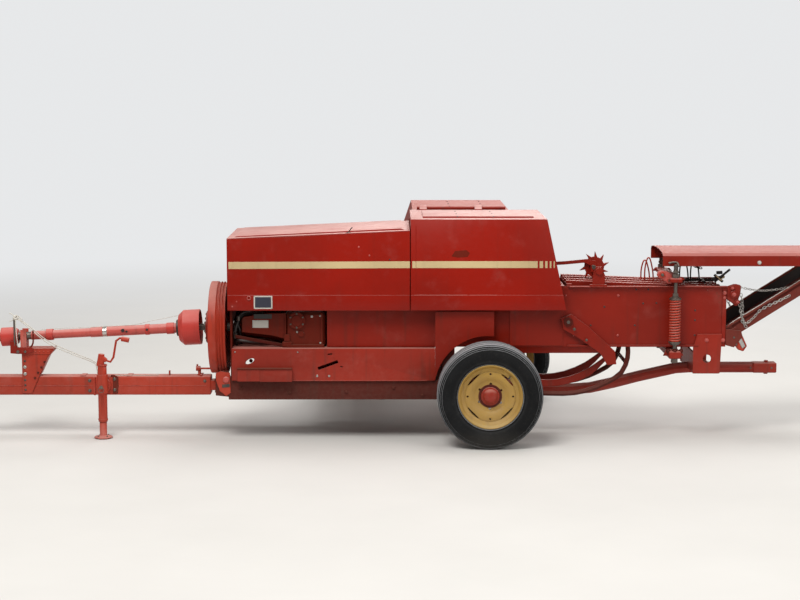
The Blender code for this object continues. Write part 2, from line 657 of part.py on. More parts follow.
def feeder_housing():
    """Cross-feed housing on the right: floor, back, sloped apron, roof and end wall, open to the case and pickup."""
    t = SHEET
    y0 = CASE_HALF + PLATE + GAP
    y1 = HOUSE_Y1
    z0 = HOUSE_Z0
    z1 = KNOT_Z1
    lip = -0.780
    shell = outline([(lip, z0), (HOUSE_X1, z0), (HOUSE_X1, z1), (HOUSE_X0, z1), (-0.620, 1.080), (-0.620, z0 + 0.30)],
                    y0, y1)
    hollow = outline([(lip - 0.3, z0 + t), (HOUSE_X1 - t, z0 + t), (HOUSE_X1 - t, z1 - t), (HOUSE_X0 + 0.003, z1 - t),
                      (-0.616, 1.081), (-0.616, 0.980), (lip - 0.3, 0.980)], y0 - 0.1, y1 - t)
    knot_cut = block(HOUSE_X0 - 0.2, HOUSE_X1 + 0.1, y0 - 0.1, HOOD_FAR_Y + 0.004, 1.022, z1 + 0.1)
    frame_cut = block(-0.535, HOUSE_X0 - 0.001, y0 - 0.1, TWINE_FAR_Y + 0.012, 1.022, z1 + 0.1)
    base = fuse([shell], [hollow, knot_cut, frame_cut])
    rib = outline([(HOUSE_X1 - 0.002, z0 + 0.01), (HOUSE_X1 + 0.035, z0 + 0.01), (HOUSE_X1 + 0.035, z0 + 0.60),
                   (HOUSE_X1 - 0.002, z0 + 0.70)], 0.930, 0.936)
    rib2 = outline([(HOUSE_X1 - 0.002, z0 + 0.01), (HOUSE_X1 + 0.035, z0 + 0.01), (HOUSE_X1 + 0.035, z0 + 0.60),
                    (HOUSE_X1 - 0.002, z0 + 0.70)], y1 - 0.010, y1 - 0.004)
    rail = rod((HOOD_SPLIT_X + 0.05, HOOD_FAR_Y + 0.022, z1 + 0.010), (HOUSE_X1 - 0.02, HOOD_FAR_Y + 0.022, z1 + 0.010), RAIL_ROD_R, 8)
    deflector = outline([(lip, y1 - 0.004), (lip, PICK_Y1), (-0.300, y1 - 0.004)], z0, z0 + t, "XY")
    fence = outline([(-0.300, y1 - 0.006), (-0.300, y1), (lip, PICK_Y1), (lip, PICK_Y1 - 0.006)], z0 + 0.001, 0.980, "XY")
    beam = block(-0.20, -0.12, y0 + 0.012, y1 - 0.002, z0 - 0.060, z0 + 0.002)
    px = PICK_PIVOT_X
    pz = PICK_PIVOT_Z
    hangers = [outline([(px - 0.045, pz - 0.034), (px + 0.045, pz - 0.034), (px + 0.060, z0 + 0.002), (px - 0.060, z0 + 0.002)],
                       y, y + 0.010, holes=((px, pz, 0.0276),)) for y in (PICK_Y0 - 0.024, y1 - 0.030)]
    return link(fuse([base, rib, rib2, rail, deflector, fence, beam] + hangers), "feeder_housing", red_paint())


def feeder_tines():
    """Cross bar with the packing fingers that sweep the crop into the case."""
    y0 = CASE_HALF + 0.075
    y1 = HOUSE_Y1 - SHEET - GAP
    pitch = (y1 - y0 - 0.2057) / 3
    tip = HOUSE_Z0 + 0.130
    z = 1.090
    x = -0.210
    bar = block(x - 0.030, x + 0.030, y0, y1, z - 0.030, z + 0.030)
    pieces = [bar]
    for i in range(4):
        y = y0 + 0.10 + i * pitch
        pieces.append(rod((x, y, z + 0.01), (x - 0.020, y, tip), 0.014, 6, 0.007))
        pieces.append(rod((x + 0.020, y + 0.08, z + 0.01), (x, y + 0.08, tip), 0.014, 6, 0.007))
    return link(fuse(pieces), "feeder_tines", bare_steel())


def pickup_frame():
    x = REEL_X
    z = REEL_Z
    px = PICK_PIVOT_X
    pz = PICK_PIVOT_Z
    pieces = []
    side = [(px + 0.055, pz - 0.02), (px + 0.040, pz + 0.045), (px - 0.040, pz + 0.050), (x - 0.06, z + 0.195)]
    side += arc(x, z, 0.200, 100, 262, 8)
    side += [(px - 0.040, z - 0.190), (px - 0.005, z - 0.180), (px + 0.055, z + 0.02)]
    for y in (PICK_Y0, PICK_Y1 - PLATE):
        pieces.append(outline(side, y, y + PLATE, holes=((x, z, SPINDLE_R / TWELFTH + GAP / 3),)))
    pieces.append(rod((px, PICK_Y0 - 0.030, pz), (px, PICK_Y1 + 0.010, pz), 0.026, 10))
    pieces.append(block(px - 0.035, px - 0.010, PICK_Y0 + 0.002, PICK_Y1 - 0.002, z - 0.182, z - 0.152))
    return pieces


def pickup_body():
    """Pickup side plates, cross tubes, stripper bands and the gauge-wheel arm, one welded piece."""
    x = REEL_X
    z = REEL_Z
    pieces = pickup_frame()
    span = PICK_Y1 - PICK_Y0
    count = max(2, round(span / BAND_PITCH))
    pitch = span / count
    outer = arc(x, z, BAND_R, 58, 283, 7)
    inner = arc(x, z, BAND_R - 0.004, 58, 283, 7)
    head = [(PICK_PIVOT_X - 0.030, z - 0.172), (PICK_PIVOT_X - 0.030, z - 0.167)]
    tail = [(PICK_PIVOT_X - 0.010, PICK_PIVOT_Z + 0.012), (PICK_PIVOT_X - 0.010, PICK_PIVOT_Z + 0.018)]
    band = outer + head + inner[::-1] + tail
    for i in range(count + 1):
        y = PICK_Y0 + 0.012 + (span - 0.024) * i / count
        pieces.append(outline(band, y - 0.018, y + 0.018))
    arm_y = PICK_Y1 + 0.0045
    pieces.append(outline([(PICK_PIVOT_X + 0.02, PICK_PIVOT_Z + 0.03), (PICK_PIVOT_X + 0.02, PICK_PIVOT_Z - 0.03),
                           (GAUGE_X - 0.02, GAUGE_Z - 0.025), (GAUGE_X - 0.02, GAUGE_Z + 0.025)],
                          arm_y - 0.006, arm_y + 0.010))
    pieces.append(rod((GAUGE_X, arm_y, GAUGE_Z), (GAUGE_X, arm_y + 0.110, GAUGE_Z), 0.012, 10))
    return link(fuse(pieces), "pickup_frame", red_paint())


def pickup_reel():
    """Shaft with tine bars; the tines come out between the stripper bands."""
    x = REEL_X
    z = REEL_Z
    span = PICK_Y1 - PICK_Y0
    count = max(2, round(span / BAND_PITCH))
    pieces = [rod((x, PICK_Y0 - 0.004, z), (x, PICK_Y1 - 0.0025, z), SPINDLE_R, 12)]
    ends = (PICK_Y0 + 0.040, (PICK_Y0 + PICK_Y1) / 2 - 0.003, PICK_Y1 - 0.046)
    for y in ends:
        pieces.append(rod((x, y, z), (x, y + 0.006, z), 0.150, 12))
    for k in range(4):
        turn = math.radians(90 * k + 20)
        bx = x + 0.135 * math.cos(turn)
        bz = z + 0.135 * math.sin(turn)
        pieces.append(rod((bx, ends[0] + 0.001, bz), (bx, ends[2] + 0.005, bz), 0.013, 6))
        lean = math.radians(90 * k + 20 - 9)
        for i in range(count):
            y = PICK_Y0 + 0.012 + (span - 0.024) * (i + 0.5) / count
            tip = (x + REEL_TINE_R * math.cos(lean), y, z + REEL_TINE_R * math.sin(lean))
            pieces.append(rod((bx, y, bz), tip, 0.005, 3))
    return link(fuse(pieces), "pickup_reel", bare_steel())


def windguard():
    """Cross tube on the apron with the rods that hold the crop down on the pickup."""
    x = -0.660
    z = 1.060
    y0 = TWINE_FAR_Y + 0.02
    y1 = HOUSE_Y1 - 0.02
    pieces = [rod((x, y0, z), (x, y1, z), 0.020, 10)]
    for i in range(8):
        y = y0 + 0.04 + (y1 - y0 - 0.08) * i / 7
        run = [(x, y, z - 0.005), (x - 0.160, y, z - 0.050), (x - 0.230, y, 0.930), (x - 0.230, y, 0.830),
               (x - 0.150, y, 0.750), (x + 0.020, y, 0.735)]
        pieces.append(tube(run, 0.005, 4))
    for y in (y0 + 0.10, y1 - 0.10):
        pieces.append(block(x - 0.010, -0.6203, y - 0.006, y + 0.006, z - 0.045, z + 0.010))
    return link(fuse(pieces), "windguard", red_paint())


def gauge_wheel():
    y = PICK_Y1 + 0.020
    r = GAUGE_R
    bore = 0.012 + RUN_GAP
    profile = [(bore, 0.000), (0.034, 0.000), (0.038, 0.032), (r * 0.62, 0.034), (r * 0.70, 0.004), (r * 0.93, 0.008),
               (r, 0.042), (r * 0.93, 0.076), (r * 0.70, 0.080), (r * 0.62, 0.050), (0.038, 0.052), (bore, 0.084)]
    return link(smooth(turned(profile, (GAUGE_X, y, GAUGE_Z), "Y", 18)), "gauge_wheel", tyre_rubber())


def tyre(name, x, y, z, radius, width, rim_r):
    half = width / 2
    bead = rim_r - 0.014
    shoulder = radius - 0.019
    seat = half * 0.72
    profile = [(bead, -seat + 0.0005), (rim_r + 0.002, -seat - 0.0035), ((rim_r + radius) / 2, -half), (shoulder, -half * 0.90),
               (radius, -half * 0.52)]
    profile += [(r, -h) for r, h in profile[::-1]]
    return link(smooth(turned(profile, (x, y, z), "Y", WHEEL_STEPS)), name, tyre_rubber())


def rim(name, x, y, z, width, rim_r, dish):
    """Steel rim with drop centre and a dished disc, the outer side towards -Y for dish -1."""
    half = width / 2 * 0.72
    seat = rim_r - 0.0145
    out = [(seat, -half), (rim_r, -half - 0.004), (rim_r, -half - 0.010), (seat - 0.006, -half - 0.006),
           (seat - 0.040, -half + 0.030)]
    disc = [(0.105, -half + 0.020), (0.0603, -half + 0.038), (0.0603, -half + 0.044), (0.105, -half + 0.026)]
    back = [(seat - 0.040, half - 0.030), (rim_r, half + 0.010), (rim_r, half + 0.004), (seat, half),
            (seat - 0.034, half - 0.034), (seat - 0.034, -half + 0.034)]
    profile = out + disc + back
    if dish > 0:
        profile = [(r, -h) for r, h in profile][::-1]
    return link(smooth(turned(profile, (x, y, z), "Y", WHEEL_STEPS)), name, yellow_paint())


def hub(name, x, y, z, width, dish):
    """Bearing hub with its grease cap on the outer side."""
    half = width / 2 * 0.72
    bore = SPINDLE_R + RUN_GAP
    end = 0.066
    face = -half + 0.040
    profile = [(0.0, face - 0.048), (0.036, face - 0.045), (0.050, face - 0.020), (0.060, face - 0.016),
               (0.060, face + 0.008), (0.050, face + 0.014), (0.046, half), (bore, half), (bore, -end), (0.0, -end)]
    if dish > 0:
        profile = [(r, -h) for r, h in profile][::-1]
    return link(smooth(turned(profile, (x, y, z), "Y", WHEEL_STEPS)), name, red_paint())


def flywheel():
    w = FLY_W
    r = FLY_R
    g = r - 0.012
    profile = [(0.0285, 0.030), (0.080, 0.034), (r - 0.060, 0.046), (r - 0.048, 0.0), (r - 0.003, 0.0), (r, 0.004), (r, 0.050)]
    for k in range(2):
        a = 0.056 + k * 0.026
        profile += [(g, a), (r - 0.003, a + 0.014)]
    profile += [(g, 0.106), (r - 0.010, w), (r - 0.050, w), (r - 0.062, 0.072), (0.080, 0.080), (0.0285, w - 0.010)]
    return link(smooth(turned(profile, (FLY_X0, DRIVE_Y, DRIVE_Z), "X", 26), 25), "flywheel", red_paint())


def slip_clutch():
    """Clutch pack bolted to the flywheel's nose, with the yoke of the drive joint."""
    profile = [(0.0, 0.0), (0.078, 0.0), (0.076, -0.010), (0.066, -0.013), (0.078, -0.018), (0.078, -0.030),
               (0.040, -0.034), (0.034, -0.070), (0.0, -0.070)]
    core = turned([(r, h) for r, h in profile][::-1], (FLY_X0 + 0.0297, DRIVE_Y, DRIVE_Z), "X", 18)
    ears = []
    for side in (-1, 1):
        ears.append(block(JOINT_X + 0.012, JOINT_X + 0.080, DRIVE_Y + side * 0.026 - 0.006, DRIVE_Y + side * 0.026 + 0.006,
                          DRIVE_Z - 0.018, DRIVE_Z + 0.018))
    neck = rod((FLY_X0 - 0.030, DRIVE_Y, DRIVE_Z), (JOINT_X + 0.055, DRIVE_Y, DRIVE_Z), 0.036, 12)
    ball = turned([(0.0, -JOINT_BALL_R), (JOINT_BALL_R * 0.7, -JOINT_BALL_R * 0.7), (JOINT_BALL_R, 0.0), (0.008, JOINT_BALL_R),
                   (0.008, 0.060), (0.0, 0.060)], (JOINT_X, DRIVE_Y, DRIVE_Z), "X", 10)
    return link(smooth(fuse([core, neck, ball] + ears)), "slip_clutch", bare_steel())


def shield_point(distance, lift=0.0):
    """Point on the driveline's axis, measured forwards from the drive joint."""
    tilt = math.radians(SHIELD_TILT)
    return (JOINT_X - distance * math.cos(tilt) - lift * math.sin(tilt), DRIVE_Y,
            DRIVE_Z - distance * math.sin(tilt) + lift * math.cos(tilt))


def driveline():
    pieces = [rod(shield_point(JOINT_BALL_R + RUN_GAP), shield_point(0.120), 0.010, 8),
              rod(shield_point(0.040), shield_point(0.110), 0.026, 10),
              rod(shield_point(0.105), shield_point(0.700), SHIELD_R, 14),
              rod(shield_point(0.680), shield_point(YOKE_START), SHIELD_R - 0.004, 14)]
    return link(smooth(fuse(pieces)), "driveline_shield", red_paint())


def bell(name, start, length, radius, mouth, neck):
    """Shield bell on the driveline's axis, open at the end that points to mouth."""
    small = neck + 4 * GAP
    t = 0.004
    profile = [(small, 0.0), (radius * 0.76, 0.0), (radius, length * 0.22), (radius, length),
               (radius - t, length), (radius - t, length * 0.24), (radius * 0.73, t), (small, t)]
    obj = turned(profile, (0, 0, 0), "Z", 18)
    a = Vector(shield_point(start))
    b = Vector(shield_point(start + mouth))
    turn = (b - a).to_track_quat("Z", "Y").to_matrix().to_4x4()
    obj.data.transform(Matrix.Translation(a) @ turn)
    return link(smooth(obj), name, red_paint())


def driveline_yoke():
    """Front joint and yoke of the driveline, lying in the tongue's cradle."""
    pieces = [rod(shield_point(YOKE_START + GAP), shield_point(1.235), YOKE_R, 12),
              rod(shield_point(1.196), shield_point(1.232), 0.038, 10),
              rod(shield_point(1.225), shield_point(1.330), 0.030, 10),
              rod(shield_point(1.255, -0.040), shield_point(1.255, 0.040), 0.014, 8)]
    return link(smooth(fuse(pieces)), "driveline_yoke", bare_steel())


def tongue():
    z0 = TONGUE_Z0
    z1 = TONGUE_Z0 + TONGUE_H
    half = TONGUE_W / 2
    beam = block(TONGUE_X0, TONGUE_X1, DRIVE_Y - half, DRIVE_Y + half, z0, z1, bevel=0.006)
    lug_r = 0.044
    lug = outline([(TONGUE_X1 - 0.01, DRIVE_Y - lug_r)] + arc(TONGUE_PIVOT_X, DRIVE_Y, lug_r, -90, 90, 6)
                  + [(TONGUE_X1 - 0.01, DRIVE_Y + lug_r)], 0.3060, 0.3710, "XY",
                  holes=((TONGUE_PIVOT_X, DRIVE_Y, TONGUE_PIN_R / TWELFTH + GAP / 3),))
    end = TONGUE_X0 - 0.150
    plates = []
    for z in (z0 + 0.018, z1 - 0.034):
        plates.append(outline([(TONGUE_X0 + 0.060, DRIVE_Y - 0.040), (TONGUE_X0 + 0.060, DRIVE_Y + 0.040)]
                              + arc(end + 0.040, DRIVE_Y, 0.040, 90, 270, 6), z, z + 0.016, "XY",
                              holes=((end + 0.040, DRIVE_Y, 0.016),)))
    jaw = block(TONGUE_X0 - 0.040, TONGUE_X0 + 0.020, DRIVE_Y - 0.038, DRIVE_Y + 0.038, z0 + 0.020, z1 - 0.020)
    plate_y = JACK_Y + JACK_R + 0.0303
    mount = block(JACK_X - 0.058, JACK_X + 0.058, plate_y, DRIVE_Y - half + 0.002, z0 + 0.004, z1 - 0.004)
    pin = rod((JACK_X, plate_y + 0.004, JACK_PIVOT_Z), (JACK_X, JACK_Y + JACK_R + 0.010, JACK_PIVOT_Z), JACK_PIN_R, 12)
    return link(fuse([beam, lug, jaw, mount, pin] + plates), "tongue", red_paint())


def drive_stand():
    """Bracket on the tongue that carries the parked driveline."""
    y0 = DRIVE_Y - TONGUE_W / 2 - GAP
    z1 = 0.585
    side = outline([(-3.080, 0.290), (-3.018, 0.290), (-2.905, z1 - 0.035), (-2.868, z1), (-3.080, z1)], y0 - 0.008, y0,
                   holes=())
    rib = outline([(-2.974, 0.411), (-2.964, 0.411), (-2.905, z1 - 0.050), (-2.868, z1 - 0.010), (-2.880, z1 - 0.004),
                   (-2.915, z1 - 0.040)], y0 - 0.004, DRIVE_Y + 0.045)
    foot = block(-3.078, -2.990, y0 - 0.004, DRIVE_Y + TONGUE_W / 2, TONGUE_Z0 + TONGUE_H + GAP, TONGUE_Z0 + TONGUE_H + 0.009)
    web = outline([(-3.070, TONGUE_Z0 + TONGUE_H + 0.004), (-3.000, TONGUE_Z0 + TONGUE_H + 0.004), (-2.900, z1 - 0.01), (-3.070, z1 - 0.01)],
                  DRIVE_Y - 0.004, DRIVE_Y + 0.004)
    top = block(-3.105, -2.870, y0 - 0.004, DRIVE_Y + 0.055, z1 - 0.012, z1)
    cy = DRIVE_Y
    base = shield_point(1.142)
    cz = base[2]
    gap = YOKE_R + 0.0055
    outer = gap + 0.008
    cup = [(cy - outer, cz + 0.045), (cy - outer, z1 - 0.004), (cy + outer, z1 - 0.004), (cy + outer, cz + 0.045), (cy + gap, cz + 0.045)]
    cup += arc(cy, cz, gap, 0, -180, 8) + [(cy - gap, cz + 0.045)]
    cradle = outline(cup, base[0] - 0.020, base[0] + 0.020, "YZ")
    return link(fuse([side, rib, foot, web, top, cradle]), "drive_stand", red_paint())


def jack_tube():
    """Outer tube, swivel plate, gear head and crank."""
    profile = [(JACK_R - JACK_WALL, 0.0), (JACK_R, 0.0), (JACK_R, JACK_Z1 - JACK_Z0), (0.0, JACK_Z1 - JACK_Z0),
               (0.0, JACK_Z1 - JACK_Z0 - 0.012), (JACK_R - JACK_WALL, JACK_Z1 - JACK_Z0 - 0.012)]
    shell = turned(profile, (JACK_X, JACK_Y, JACK_Z0), "Z", 14)
    sleeve = turned([(JACK_R - 0.002, -0.062), (JACK_R + 0.007, -0.062), (JACK_R + 0.007, 0.062), (JACK_R - 0.002, 0.062)],
                    (JACK_X, JACK_Y, JACK_PIVOT_Z + 0.020), "Z", 14)
    y1 = JACK_Y + JACK_R + 0.030
    swivel = outline(arc(JACK_X, JACK_PIVOT_Z, 0.050, 0, 330, 11), JACK_Y + JACK_R - 0.0035, y1,
                     holes=((JACK_X, JACK_PIVOT_Z, JACK_PIN_R / TWELFTH + GAP / 3),))
    head = rod((JACK_X - 0.012, JACK_Y, JACK_Z1 - 0.006), (JACK_X - 0.002, JACK_Y, JACK_Z1 + 0.072), 0.026, 10, 0.020)
    gear = rod((JACK_X - 0.012, JACK_Y, JACK_Z1 + 0.052), (JACK_X + 0.030, JACK_Y, JACK_Z1 + 0.028), 0.022, 8, 0.014)
    x = JACK_X + 0.026
    z = JACK_Z1 + 0.030
    crank = curve_through([(x - 0.01, JACK_Y, z + 0.004), (x + 0.030, JACK_Y, z - 0.010), (x + 0.050, JACK_Y, z + 0.020),
                           (x + 0.070, JACK_Y, z + 0.130), (x + 0.095, JACK_Y, z + 0.148), (x + 0.135, JACK_Y, z + 0.140)], 1)
    arm = tube(crank, 0.008, 6)
    knob = rod((x + 0.105, JACK_Y, z + 0.144), (x + 0.155, JACK_Y, z + 0.134), 0.017, 8)
    return link(smooth(fuse([shell, sleeve, swivel, head, gear, arm, knob])), "jack_tube", red_paint())


def jack_leg():
    leg_r = JACK_R - JACK_WALL - RUN_GAP
    profile = [(0.0, 0.0), (FOOT_R - 0.010, 0.0), (FOOT_R, 0.006), (FOOT_R - 0.006, 0.012), (0.034, 0.0165), (leg_r, 0.0215),
               (leg_r, JACK_LEG_TOP), (0.0, JACK_LEG_TOP)]
    return link(smooth(turned(profile, (JACK_X, JACK_Y, 0.0), "Z", 14)), "jack_leg", red_paint())


def wagon_hitch():
    """Swept pipe under the case with its hanger straps and the drawbar end."""
    start = AXLE_SIDE / 2 + GAP
    run = [(start + 0.004, 0.0, 0.346), (start + 0.030, 0.0, 0.346)]
    run += curve_through([(0.200, 0.0, 0.306), (0.420, 0.0, 0.290), (0.700, 0.0, 0.301), (1.020, 0.0, 0.378),
                          (1.270, 0.0, HITCH_Z - 0.006)], 2)
    run += [(1.360, 0.0, HITCH_Z), (HITCH_X1 - 0.02, 0.0, HITCH_Z)]
    pipe = tube(run, HITCH_R, 10)
    pad = block(start, start + 0.012, -0.055, 0.055, 0.308, 0.380)
    end = block(HITCH_X1 - 0.160, HITCH_X1, -0.040, 0.040, HITCH_Z - 0.034, HITCH_Z + 0.034, bevel=0.006)
    bolt = rod((HITCH_X1 - 0.066, 0.0, HITCH_Z - 0.045), (HITCH_X1 - 0.065, 0.0, HITCH_Z + 0.046), 0.014, 8)
    y = CASE_HALF + GAP
    pieces = [pipe, pad, end, bolt]
    strap = [(1.345, HITCH_Z + 0.001), (1.522, HITCH_Z + 0.001), (1.532, 0.700), (1.372, 0.700), (1.345, 0.610)]
    for y0 in (-y - 0.010, y):
        pieces.append(outline(strap, y0, y0 + 0.010, holes=((1.437, 0.537, 0.028),)))
    pieces.append(block(1.350, 1.518, -y - 0.004, y + 0.004, HITCH_Z - 0.002, HITCH_Z + 0.010))
    pieces.append(block(1.350, 1.362, -y - 0.004, y + 0.004, HITCH_Z + 0.001, 0.575))
    return link(smooth(fuse(pieces), 30), "wagon_hitch", red_paint())


def needles():
    """Needle yoke: two pivoted arms, cross tube and the curved twine needles, parked below the case."""
    px = NEEDLE_PIVOT_X
    pz = NEEDLE_PIVOT_Z
    elbow = (0.800, 0.560)
    y = CASE_HALF + PLATE + GAP
    pieces = []
    for side in (-1, 1):
        y0 = side * (y + 0.014)
        arm = [(px - 0.045, pz + 0.020), (px + 0.020, pz + 0.050), (px + 0.130, pz - 0.030), (elbow[0] + 0.030, elbow[1] + 0.030),
               (elbow[0] + 0.040, elbow[1] - 0.055), (elbow[0] - 0.020, elbow[1] - 0.060), (elbow[0] - 0.065, elbow[1] + 0.015),
               (px + 0.060, pz - 0.100), (px - 0.030, pz - 0.050)]
        pieces.append(outline(arm, min(y0 - 0.014 * side, y0 + 0.014 * side), max(y0 - 0.014 * side, y0 + 0.014 * side),
                              holes=((px, pz, 0.0212),)))
    pieces.append(rod((elbow[0], -y - 0.010, elbow[1] - 0.025), (elbow[0], y + 0.010, elbow[1] - 0.025), 0.032, 10))
    for yy in (-0.115, 0.115):
        upper = curve_through([(elbow[0] + 0.01, 0, elbow[1] - 0.010), (0.680, 0, 0.455), (0.540, 0, 0.395), (0.400, 0, 0.374),
                               (0.270, 0, 0.392), (0.170, 0, 0.450), (0.135, 0, 0.500)], 2)
        lower = curve_through([(elbow[0] - 0.01, 0, elbow[1] - 0.055), (0.690, 0, 0.408), (0.550, 0, 0.350), (0.400, 0, 0.330),
                               (0.250, 0, 0.356), (0.150, 0, 0.428), (0.122, 0, 0.500)], 2)
        shape = [(p[0], p[2]) for p in upper] + [(p[0], p[2]) for p in lower[::-1]]
        pieces.append(outline(shape, yy - 0.010, yy + 0.010))
    return link(fuse(pieces), "needle_yoke", red_paint())


def needle_pivots():
    """Pivot bosses of the needle yoke on both case walls."""
    out = []
    for name, side in (("needle_pivot_left", -1), ("needle_pivot_right", 1)):
        y0 = side * (CASE_HALF + GAP)
        y1 = side * (CASE_HALF + PLATE + 0.042)
        profile = rod((NEEDLE_PIVOT_X, y0, NEEDLE_PIVOT_Z), (NEEDLE_PIVOT_X, y1, NEEDLE_PIVOT_Z), 0.020, 12)
        cap = rod((NEEDLE_PIVOT_X, side * (CASE_HALF + PLATE + GAP + 0.0285), NEEDLE_PIVOT_Z), (NEEDLE_PIVOT_X, y1, NEEDLE_PIVOT_Z), 0.030, 12)
        out.append(link(fuse([profile, cap]), name, bare_steel()))
    return out


def needle_guard():
    """Bent pipes below the case that shield the parked needles."""
    pieces = []
    for y in (-0.222, 0.222):
        run = curve_through([(0.920, y, CASE_Z0 - GAP), (0.920, y, 0.540), (0.880, y, 0.440), (0.780, y, 0.372),
                             (0.640, y, 0.318), (0.500, y, 0.300), (0.300, y, 0.306)], 2)
        run += [(RAIL_X1 + 0.060, y, 0.318), (RAIL_X1 + GAP, y, 0.318)]
        pieces.append(tube(run, 0.017, 6))
    pieces.append(rod((0.915, -0.224, 0.5000), (0.915, 0.224, 0.5000), 0.012, 6))
    return link(smooth(fuse(pieces), 30), "needle_guard", red_paint())


def chute_axes():
    turn = math.radians(CHUTE_ANGLE)
    return Vector((math.cos(turn), 0, math.sin(turn))), Vector((-math.sin(turn), 0, math.cos(turn)))


def chute_lower():
    """Inclined bale trough behind the case, hinged lugs on both ends."""
    along, up = chute_axes()
    t = SHEET
    half = CHUTE_HALF
    h = CHUTE_WALL_H
    section = [(-half, h), (-half, 0.0), (half, 0.0), (half, h), (half - t, h), (half - t, t), (-half + t, t), (-half + t, h)]
    trough = outline(section, 0.0, CHUTE_LEN, "YZ")
    rails = [block(0.001, CHUTE_LEN - 0.001, *sides_of(side, half - 0.010, half + 0.012), h - 0.010, h + 0.002)
             for side in (-1, 1)]
    hinge = Vector((EXT_HINGE_X - CHUTE_X0, 0, EXT_HINGE_Z - CHUTE_Z0))
    pin = (hinge.dot(along), hinge.dot(up))
    lugs = []
    for side in (-1, 1):
        lug = sides_of(side, half - 0.002, half + 0.012)
        lugs.append(outline([(CHUTE_LEN - 0.090, 0.004), (CHUTE_LEN - 0.005, 0.010), (CHUTE_LEN + 0.046, h - 0.050),
                             (CHUTE_LEN + 0.056, h - 0.024), (CHUTE_LEN + 0.040, h + 0.016), (CHUTE_LEN - 0.010, h + 0.028),
                             (CHUTE_LEN - 0.090, h - 0.002)], *lug))
        lugs.append(rod((pin[0], side * (half + 0.004), pin[1]), (pin[0], side * (EXT_HALF - 0.0225), pin[1]), 0.017, 10))
        lugs.append(rod((pin[0], side * (half + 0.004), pin[1]), (pin[0], side * (EXT_HALF + 0.006), pin[1]), EXT_PIN_R, 12))
        lugs.append(block(-0.040, 0.060, *sides_of(side, half - 0.002, half + 0.010), 0.002, 0.050))
    obj = fuse([trough] + rails + lugs)
    frame = Matrix(((along.x, 0, up.x, CHUTE_X0), (0, 1, 0, 0), (along.z, 0, up.z, CHUTE_Z0), (0, 0, 0, 1)))
    obj.data.transform(frame)
    return link(obj, "chute_lower", red_paint())


def chute_brackets():
    """Lugs on the case's rear corners that the chute is pinned to."""
    along, up = chute_axes()
    out = []
    for name, side in (("chute_bracket_left", -1), ("chute_bracket_right", 1)):
        x = CHUTE_X0 - 0.01
        z = CHUTE_Z0
        plate = outline([(CASE_X1 + GAP, z - 0.045), (CASE_X1 + 0.055, z - 0.060), (x + 0.075, z + 0.010), (x + 0.065, z + 0.050),
                         (CASE_X1 + GAP, z + 0.060)], *sides_of(side, CHUTE_HALF + 0.010 + GAP, CHUTE_HALF + 0.028))
        out.append(link(plate, name, dark_red_paint()))
    return out


def chute_extension():
    """Outer half of the chute, folded forwards over the case as a cover."""
    t = SHEET
    half = EXT_HALF
    rise = EXT_CROWN
    top = EXT_WALL_H
    steps = 8
    crown = [(half * math.cos(math.pi * i / steps), top + rise * math.sin(math.pi * i / steps) ** 0.7) for i in range(steps + 1)]
    under = [((half - t) * math.cos(math.pi * i / steps), top - t + rise * math.sin(math.pi * i / steps) ** 0.7) for i in range(steps + 1)]
    section = [(half, 0.0)] + crown + [(-half, 0.0), (-half + t, 0.0)] + under[::-1] + [(half - t, 0.0)]
    x0 = EXT_HINGE_X - EXT_LEN
    z0 = 1.150
    shell = outline(section, x0, EXT_HINGE_X - 0.060, "YZ")
    shell.data.transform(Matrix.Translation((0, 0, z0)))
    pieces = [shell]
    for side in (-1, 1):
        pieces.append(block(x0 + 0.001, EXT_HINGE_X - 0.062, *sides_of(side, half - 0.016, half + 0.002), z0 - 0.001, z0 + t))
        pieces.append(outline([(EXT_HINGE_X - 0.150, z0 + 0.002), (EXT_HINGE_X - 0.020, EXT_HINGE_Z - 0.024),
                               (EXT_HINGE_X + 0.022, EXT_HINGE_Z - 0.022), (EXT_HINGE_X + 0.022, EXT_HINGE_Z + 0.022),
                               (EXT_HINGE_X - 0.020, EXT_HINGE_Z + 0.030), (EXT_HINGE_X - 0.150, z0 + 0.050)],
                              *sides_of(side, half - 0.017, half - 0.002),
                              holes=((EXT_HINGE_X, EXT_HINGE_Z, EXT_PIN_R / TWELFTH + RUN_GAP),)))
    return link(smooth(fuse(pieces), 30), "chute_extension", red_paint())


def star_wheel():
    """Toothed measuring wheel that rides on the bale."""
    rim_pts = []
    step = 360.0 / STAR_TEETH
    for i in range(STAR_TEETH):
        a = step * i + 12.0
        for turn, radius in ((-step * 0.30, STAR_R), (step * 0.10, STAR_TIP_R), (step * 0.16, STAR_R)):
            ang = math.radians(a + turn)
            rim_pts.append((STAR_X + radius * math.cos(ang), STAR_Z + radius * math.sin(ang)))
    plate = outline(rim_pts, -0.012, 0.012)
    boss = rod((STAR_X, -0.026, STAR_Z), (STAR_X, 0.026, STAR_Z), 0.030, 10)
    bore = rod((STAR_X, -0.1, STAR_Z), (STAR_X, 0.1, STAR_Z), STAR_PIN_R / TWELFTH + RUN_GAP, 12)
    return link(fuse([plate, boss], [bore]), "star_wheel", dark_red_paint())


